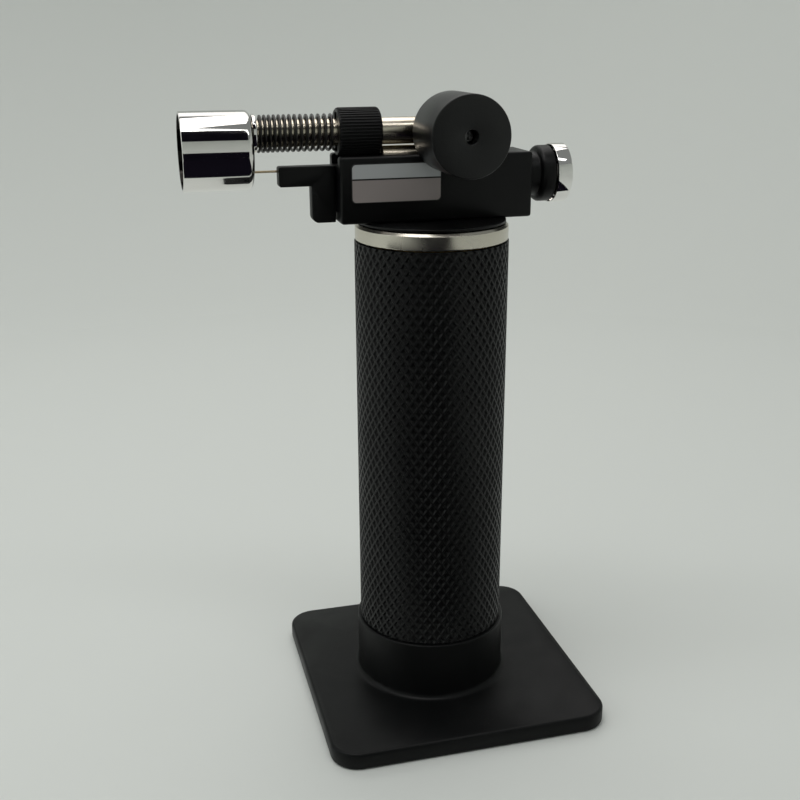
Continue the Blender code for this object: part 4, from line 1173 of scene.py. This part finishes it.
@dataclass
class Head(Assembly):
    """The housing's shells, its screws, its label, the valve block and the electrode holder."""

    soft: float = 0.22 * MM
    arm_height: float = 4.25 * MM
    leg_length: float = 5.2 * MM
    leg_corner: float = 1.5 * MM
    tongue_half: float = 1.5 * MM
    tongue_rise: float = 2.4 * MM
    lead_stop: float = -29 * MM

    def build(self) -> None:
        """Build each piece of the head."""
        for side in ("near", "far"):
            self.cast(f"head_shell_{side}", "head", f"housing_{side}", 50, self.soft, 3, 60)
        for end in ("front", "rear"):
            node = f"housing_screw_{end}"
            self.screwed(f"head_screw_{end}", node, Axis.FARWARD, (0.8 * MM, 0.3 * MM), (0.24 * MM, 0.7 * MM))
        self.cast("face_label", "label", "label_plate", 50, 0.06 * MM, 2, 60)
        self._holder()
        self.cast("valve_body", "handle", "valve_block", 50, 0.2 * MM, 3, 60)

    def _holder(self) -> None:
        """Make the electrode holder: an arm and a leg in one moulding, with the tongue behind."""
        whole = Span.of("electrode_holder")
        leg_rear = Span.of("housing_near").low.x - 0.3 * MM
        leg_front = leg_rear - self.leg_length
        arm_low = whole.high.z - self.arm_height
        rows = [
            (whole.low.x, whole.high.z, 0.5 * MM),
            (whole.low.x, arm_low, 0.5 * MM),
            (leg_front, arm_low, 0.3 * MM),
            (leg_front, whole.low.z, self.leg_corner),
            (leg_rear, whole.low.z, 0.3 * MM),
            (leg_rear, whole.high.z, 0.3 * MM),
        ]
        outline = rounded([Corner(*row) for row in rows], steps=6)
        shape = bmesh.new()
        sides = [[shape.verts.new((x, y, z)) for x, z in outline] for y in (whole.low.y, whole.high.y)]
        shape.faces.new(sides[0])
        shape.faces.new(sides[1])
        skin(shape, sides)
        bmesh.ops.recalc_face_normals(shape, faces=shape.faces)
        holder = softened(from_bmesh("spark_wire_holder", shape, 40), 0.3 * MM, angle=60)
        tongue = box_of(
            "tongue",
            Vector((leg_rear - MM, -self.tongue_half, whole.low.z + self.tongue_rise)),
            Vector((whole.high.x, self.tongue_half, whole.high.z - 0.05 * MM)),
        )
        combined(holder, [tongue], "UNION", 34)
        hole_z = Span.of("electrode_wire").low.z + 0.25 * MM
        bores = [
            bored("wire_hole", 0.4 * MM, 8 * MM, Axis.REARWARD, Vector((whole.low.x - MM, 0, hole_z)), 32),
            bored("lead_hole", 0.7 * MM, 14 * MM, Axis.REARWARD, Vector((self.lead_stop, 0, hole_z)), 32),
        ]
        combined(holder, bores, "DIFFERENCE", 34)
        self.settle(holder, "head", "electrode_holder")


def bored(name: str, radius: float, length: float, axis: Axis, start: Vector, steps: int) -> Piece:
    """Make a plain round cutter."""
    return turned(name, [(0, 0), (radius, 0), (radius, length), (0, length)], axis, start, steps)


def cross_cut(piece: Piece, face: Vector, reach: float, half: float, depth: float) -> None:
    """Cut a cross recess in a screw head that faces along Y.

    Args:
        piece: The screw.
        face: The middle of the head's face, which looks along +Y or -Y.
        reach: How far each arm runs from the middle.
        half: Half an arm's width.
        depth: How deep the recess is.
    """
    arms = []
    for x, z in ((reach, half), (half, reach)):
        low = Vector((face.x - x, face.y - depth, face.z - z))
        high = Vector((face.x + x, face.y + depth, face.z + z))
        arms.append(box_of("cross_arm", low, high))
    combined(piece, arms, "DIFFERENCE")


@dataclass
class GasKnob(Assembly):
    """The gas knob with the screw in its middle."""

    edge: float = 0.28 * MM
    wall: float = 1.6 * MM
    face: float = 2.4 * MM
    hole: float = 1.45 * MM
    screw_way: float = 0.95 * MM
    hub: float = 3.4 * MM
    spindle: float = 1.65 * MM
    recess: float = 2.0 * MM
    web: float = 1.0 * MM
    hub_setback: float = 4.5 * MM

    def build(self) -> None:
        """Turn the knob and its screw."""
        span = Span.of("gas_knob")
        outer, length = span.size.x / 2, span.size.y
        inner = outer - self.wall
        web_front = length - self.face - self.recess
        rows = [
            (self.hole, length, 0.2 * MM),
            (outer, length, self.edge),
            (outer, 0, 0.4 * MM),
            (inner, 0, 0.3 * MM),
            (inner, length - self.face, 0.4 * MM),
            (self.hub, length - self.face, 0.4 * MM),
            (self.hub, self.hub_setback, 0.2 * MM),
            (self.spindle, self.hub_setback),
            (self.spindle, web_front - self.web),
            (self.screw_way, web_front - self.web),
            (self.screw_way, web_front),
            (self.hole, web_front),
        ]
        self.spun("gas_knob_turned", "knob", "gas_knob", rows, Axis.NEARWARD, body=Body.KNOB)
        head, cross = (1.2 * MM, 0.25 * MM), (0.22 * MM, 0.6 * MM)
        self.screwed("knob_centre_screw", "knob_screw", Axis.NEARWARD, head, cross, Body.KNOB)


@dataclass
class Burner(Assembly):
    """The tube with its collar, spring, shoulder and nozzle."""

    rib_count: int = 46
    rib_thickness: float = 0.2 * MM
    rib_inset: float = 0.15 * MM
    wire: float = 0.31 * MM
    turns: float = 14.0
    closing: float = 0.05
    bore_gap: float = 0.15 * MM
    nozzle_wall: float = 0.6 * MM
    nozzle_back: float = 0.8 * MM
    nozzle_soft: float = 1.25 * MM

    def build(self) -> None:
        """Build the burner from the valve block to the nozzle."""
        self._tubes()
        self._collar()
        span, tube = Span.of("burner_spring"), Span.of("burner_tube")
        values = {
            "Turns": self.turns,
            "Facets": 40,
            "Mean Radius": span.size.z / 2 - self.wire,
            "Closing": self.closing,
        }
        self.coiled("heat_spring", "burner_spring", Axis.REARWARD, tube.middle, self.wire, values)
        self._nozzle()
        for node, name in (("flame_holder", "flame_plate"), ("burner_tip", "burner_mouth")):
            self.cast(name, "brass", node, 40, 0.08 * MM, 2, 50)

    def _tubes(self) -> None:
        """Make the tube, the stub under it and the bright shoulder."""
        self.settle(recast("burner_tube", "mixing_tube", 40), "tube", "burner_tube")
        span = Span.of("burner_support_stub")
        radius = span.size.z / 2
        rows = [(0, 0), (radius, 0, 0.5 * MM), (radius, span.size.x), (0, span.size.x)]
        self.spun("support_stub", "tube", "burner_support_stub", rows, Axis.REARWARD, 96)
        span = Span.of("nozzle_ferrule")
        bore, radius = Span.of("burner_tube").size.z / 2 + self.bore_gap, span.size.z / 2
        rows = [(radius, 0, 0.2 * MM), (radius, span.size.x, 0.3 * MM), (bore, span.size.x), (bore, 0)]
        self.spun("nozzle_shoulder", "chrome", "nozzle_ferrule", rows, Axis.REARWARD, 96)

    def _collar(self) -> None:
        """Make the collar's core and its ring of ribs, two pieces on the collar's body."""
        span = Span.of("air_collar")
        core_radius = span.size.z / 2 - self.rib_thickness
        core = recast("air_collar", "air_collar_core", 40)
        shape = bmesh.new()
        shape.from_mesh(core.data)
        middle = Vector((0, span.middle.y, span.middle.z))
        for vertex in shape.verts:
            off = vertex.co - middle
            off.x = 0
            if off.length > core_radius:
                vertex.co -= off.normalized() * (off.length - core_radius)
        shape.to_mesh(core.data)
        shape.free()
        values = {
            "Count": self.rib_count,
            "Ring Radius": core_radius - 0.02 * MM,
            "Length": span.size.x - 2 * self.rib_inset,
            "Thickness": self.rib_thickness,
        }
        ribs = grown("collar_ribs", GrowthTrees.ribs(), values)
        start = Vector((span.low.x + self.rib_inset, span.middle.y, span.middle.z))
        ribs.data.transform(Matrix.Translation(start) @ Axis.REARWARD.turn)
        self.settle(core, "head", "air_collar", body=Body.COLLAR)
        self.settle(ribs, "head", body=Body.COLLAR)

    def _nozzle(self) -> None:
        """Turn the nozzle shell with its round shoulder, thin rim and holes."""
        span = Span.of("nozzle_shell")
        outer, length = span.size.z / 2, span.size.x
        inner = outer - self.nozzle_wall
        rows = [
            (0, 0),
            (outer, 0, self.nozzle_soft),
            (outer, length, 0.18 * MM),
            (inner, length, 0.18 * MM),
            (inner, self.nozzle_back, self.nozzle_back),
            (0, self.nozzle_back),
        ]
        shell = turned("nozzle_chrome", rows, Axis.FORWARD, span.end(Axis.FORWARD, -1), 192)
        tube = Span.of("burner_tube")
        wire_z = Span.of("electrode_wire").low.z + 0.25 * MM
        holes = (
            ("tube_way", tube.size.z / 2 + self.bore_gap, tube.middle.z, 64),
            ("wire_way", 0.75 * MM, wire_z, 32),
        )
        bores = [
            bored(name, radius, 3 * MM, Axis.FORWARD, Vector((span.high.x + MM, 0, height)), steps)
            for name, radius, height, steps in holes
        ]
        combined(shell, bores, "DIFFERENCE")
        self.settle(shell, "nozzle", "nozzle_shell")


@dataclass
class Igniter(Assembly):
    """The spark button, its bezel and its spring, with the electrode wire."""

    wire: float = 0.3 * MM
    travel: float = 2.8 * MM
    bore: float = 3.8 * MM
    neck: float = 4.9 * MM
    neck_length: float = 2.3 * MM
    skirt: float = 0.27 * MM
    end: float = 0.6 * MM

    def build(self) -> None:
        """Build the bezel, the cap, the spring and the wire."""
        span = Span.of("button_bezel")
        outer, length = span.size.z / 2, span.size.x
        rows = [
            (self.neck, 0),
            (self.neck, self.neck_length, 0.2 * MM),
            (outer, self.neck_length, 0.9 * MM),
            (outer, length, 0.4 * MM),
            (self.bore, length, 0.2 * MM),
            (self.bore, 0),
        ]
        self.spun("spark_button_bezel", "head", "button_bezel", rows, Axis.REARWARD, 128)
        span = Span.of("button_cap")
        outer, length = span.size.z / 2, span.size.x
        rows = [
            (0, length),
            (outer * 0.8, length, 4 * MM),
            (outer, length - 0.12 * MM, 0.35 * MM),
            (outer, 0, 0.08 * MM),
            (outer - self.skirt, 0, 0.08 * MM),
            (outer - self.skirt, length - self.end),
            (0, length - self.end),
        ]
        self.spun("spark_button_cap", "chrome", "button_cap", rows, Axis.REARWARD, body=Body.BUTTON)
        span = Span.of("button_spring")
        middle = Span.of("piezo_plunger").middle
        values = {"Turns": 5.0, "Facets": 32, "Mean Radius": 2.9 * MM}
        spring = self.coiled("return_spring", "button_spring", Axis.REARWARD, middle, self.wire, values)
        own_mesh(spring)
        self.cast("spark_wire", "electrode", "electrode_wire", 70, 0.05 * MM, 2, 75)


@dataclass
class Internals(Assembly):
    """The pieces inside, which keep their CAD shape and get a fuller material."""

    travel: float = 1.8 * MM
    by_finish: dict[str, str] = field(
        default_factory=lambda: {
            "aluminium": "fuel_tank",
            "brass": "tank_top_plug gas_feed_pipe refill_valve_body refill_valve_stem gland_nut gas_jet",
            "rubber": "tank_o_ring spindle_o_ring refill_valve_gasket",
            "felt": "fuel_wick",
            "white": "piezo_body piezo_plunger",
            "red": "ignition_lead",
            "screw": "gas_spindle valve_needle",
        }
    )

    def build(self) -> None:
        """Dress each inner CAD node, and coil the filling valve's spring."""
        for finish, nodes in self.by_finish.items():
            for node in nodes.split():
                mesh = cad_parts[node].data
                mesh.materials.clear()
                mesh.materials.append(self.finishes.made[finish])
                LOG.info("%s keeps its shape", node)
        span = Span.of("refill_valve_spring")
        values = {"Turns": 5.0, "Facets": 28, "Mean Radius": 1.35 * MM}
        spring = self.coiled("filling_spring", "refill_valve_spring", Axis.UP, Vector(), 0.2 * MM, values)
        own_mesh(spring)


# The studio


@dataclass
class Studio:
    """A pale round sweep, soft boxes overhead, reflection cards and the camera."""

    sweep_radius: float = 0.85
    sweep_height: float = 0.7
    sweep_curve: float = 0.45
    camera_place: tuple[float, float, float] = (-0.068136, -0.23317, 0.156354)
    camera_heading: float = -0.2542
    camera_pitch: float = 0.3245
    camera_roll: float = -0.0052
    camera_lens: float = 48.42

    def build(self) -> None:
        """Build the stage, the lights and the camera."""
        self._sweep()
        self._lights()
        self._cards()
        self._world()
        self._camera()

    def _sweep(self) -> None:
        """Turn the pale floor that curves up into a wall all round."""
        outline = [(0.0, 0.0)]
        for k in range(17):
            angle = pi / 2 * k / 16
            across = self.sweep_radius - self.sweep_curve + self.sweep_curve * sin(angle)
            outline.append((across, self.sweep_curve * (1 - cos(angle))))
        outline.append((self.sweep_radius, self.sweep_height))
        shape = bmesh.new()
        steps = 96
        rings = []
        for radius, height in outline[1:]:
            angles = (2 * pi * k / steps for k in range(steps))
            rings.append([shape.verts.new((radius * cos(a), radius * sin(a), height)) for a in angles])
        shape.faces.new(rings[0])
        skin(shape, rings)
        sweep = from_bmesh("studio_sweep", shape, 60)
        self._paint(sweep, "studio_paper", (0.69, 0.715, 0.69), 0.9, 0.15)

    def _soft_box(self, name: str, place: Sequence[float], size: Point2, power: float, tint: Colour) -> None:
        """Hang an area light that looks at the torch."""
        lamp = bpy.data.lights.new(name, "AREA")
        lamp.shape = "RECTANGLE"
        lamp.size, lamp.size_y = size
        lamp.energy = power
        lamp.color = tint
        holder = bpy.data.objects.new(name, lamp)
        holder.location = place
        aim = Vector((0, 0, 0.08)) - Vector(place)
        holder.rotation_euler = aim.to_track_quat("-Z", "Y").to_euler()
        bpy.context.scene.collection.objects.link(holder)

    def _lights(self) -> None:
        """Hang the soft boxes."""
        self._soft_box("front_strip", (-0.1, -0.22, 0.72), (1.0, 0.1), 1.0, (1.0, 1.0, 1.0))
        self._soft_box("top_box", (-0.05, 0.05, 0.78), (1.0, 0.34), 2.2, (1.0, 0.97, 0.95))
        self._soft_box("back_box", (0.0, 0.5, 0.62), (0.9, 0.3), 0.9, (1.0, 0.98, 0.96))
        self._soft_box("left_box", (-0.62, 0.05, 0.42), (0.3, 0.5), 0.5, (0.97, 1.0, 1.0))

    def _cards(self) -> None:
        """Set the dark cards that only show in reflections."""
        left, right, near, far = -0.54, 0.1, -0.045, -0.41
        corners = {
            "floor_card": ((left, far, 0.002), (right, far, 0.002), (right, near, 0.002), (left, near, 0.002)),
            "low_card": ((left, far, 0.0), (right, far, 0.0), (right, far, 0.143), (left, far, 0.143)),
            "high_card": ((left, -0.4, 0.404), (right, -0.4, 0.404), (right, -0.25, 0.66), (left, -0.25, 0.66)),
        }
        for name, places in corners.items():
            shape = bmesh.new()
            shape.faces.new([shape.verts.new(place) for place in places])
            card = from_bmesh(name, shape)
            self._paint(card, name, (0.006, 0.005, 0.009), 1.0, 0.0)
            for ray in ("camera", "diffuse", "shadow", "transmission"):
                setattr(card, f"visible_{ray}", False)

    @staticmethod
    def _paint(piece: Piece, name: str, colour: Colour, roughness: float, gloss: float) -> None:
        """Give a stage piece a plain material."""
        paint, _, shader = start_material(name)
        shader.inputs["Base Color"].default_value = (*colour, 1)
        shader.inputs["Roughness"].default_value = roughness
        shader.inputs["Specular IOR Level"].default_value = gloss
        piece.data.materials.append(paint)

    def _world(self) -> None:
        """Fill the room with a soft pale light."""
        world = bpy.data.worlds.new("studio_air")
        world.use_nodes = True
        air = world.node_tree.nodes["Background"]
        air.inputs["Color"].default_value = (0.62, 0.65, 0.64, 1)
        air.inputs["Strength"].default_value = 0.34
        scene = bpy.context.scene
        scene.world = world
        scene.view_settings.view_transform = "Standard"

    def _camera(self) -> None:
        """Set the camera at the viewing angle."""
        lens = bpy.data.cameras.new("studio_camera")
        lens.sensor_width = 36
        lens.lens = self.camera_lens
        lens.clip_start = 0.01
        camera = bpy.data.objects.new("studio_camera", lens)
        camera.matrix_world = (
            Matrix.Translation(self.camera_place)
            @ Matrix.Rotation(self.camera_heading, 4, "Z")
            @ Matrix.Rotation(pi / 2 - self.camera_pitch, 4, "X")
            @ Matrix.Rotation(self.camera_roll, 4, "Z")
        )
        bpy.context.scene.collection.objects.link(camera)
        bpy.context.scene.camera = camera


def main() -> None:
    """Build the studio and the torch."""
    logging.basicConfig(level=logging.INFO, format="%(name)s: %(message)s")
    label = Span.of("label_plate")
    finishes = Finishes(label, label.high.z - 3.3 * MM, Span.of("nozzle_shell"))
    builders: list[Callable[[], None]] = [
        Studio().build,
        StandFoot(finishes).build,
        Handle(finishes).build,
        Head(finishes).build,
        GasKnob(finishes).build,
        Burner(finishes).build,
        Igniter(finishes).build,
        Internals(finishes).build,
    ]
    for build in builders:
        build()


if __name__ == "__main__":
    main()
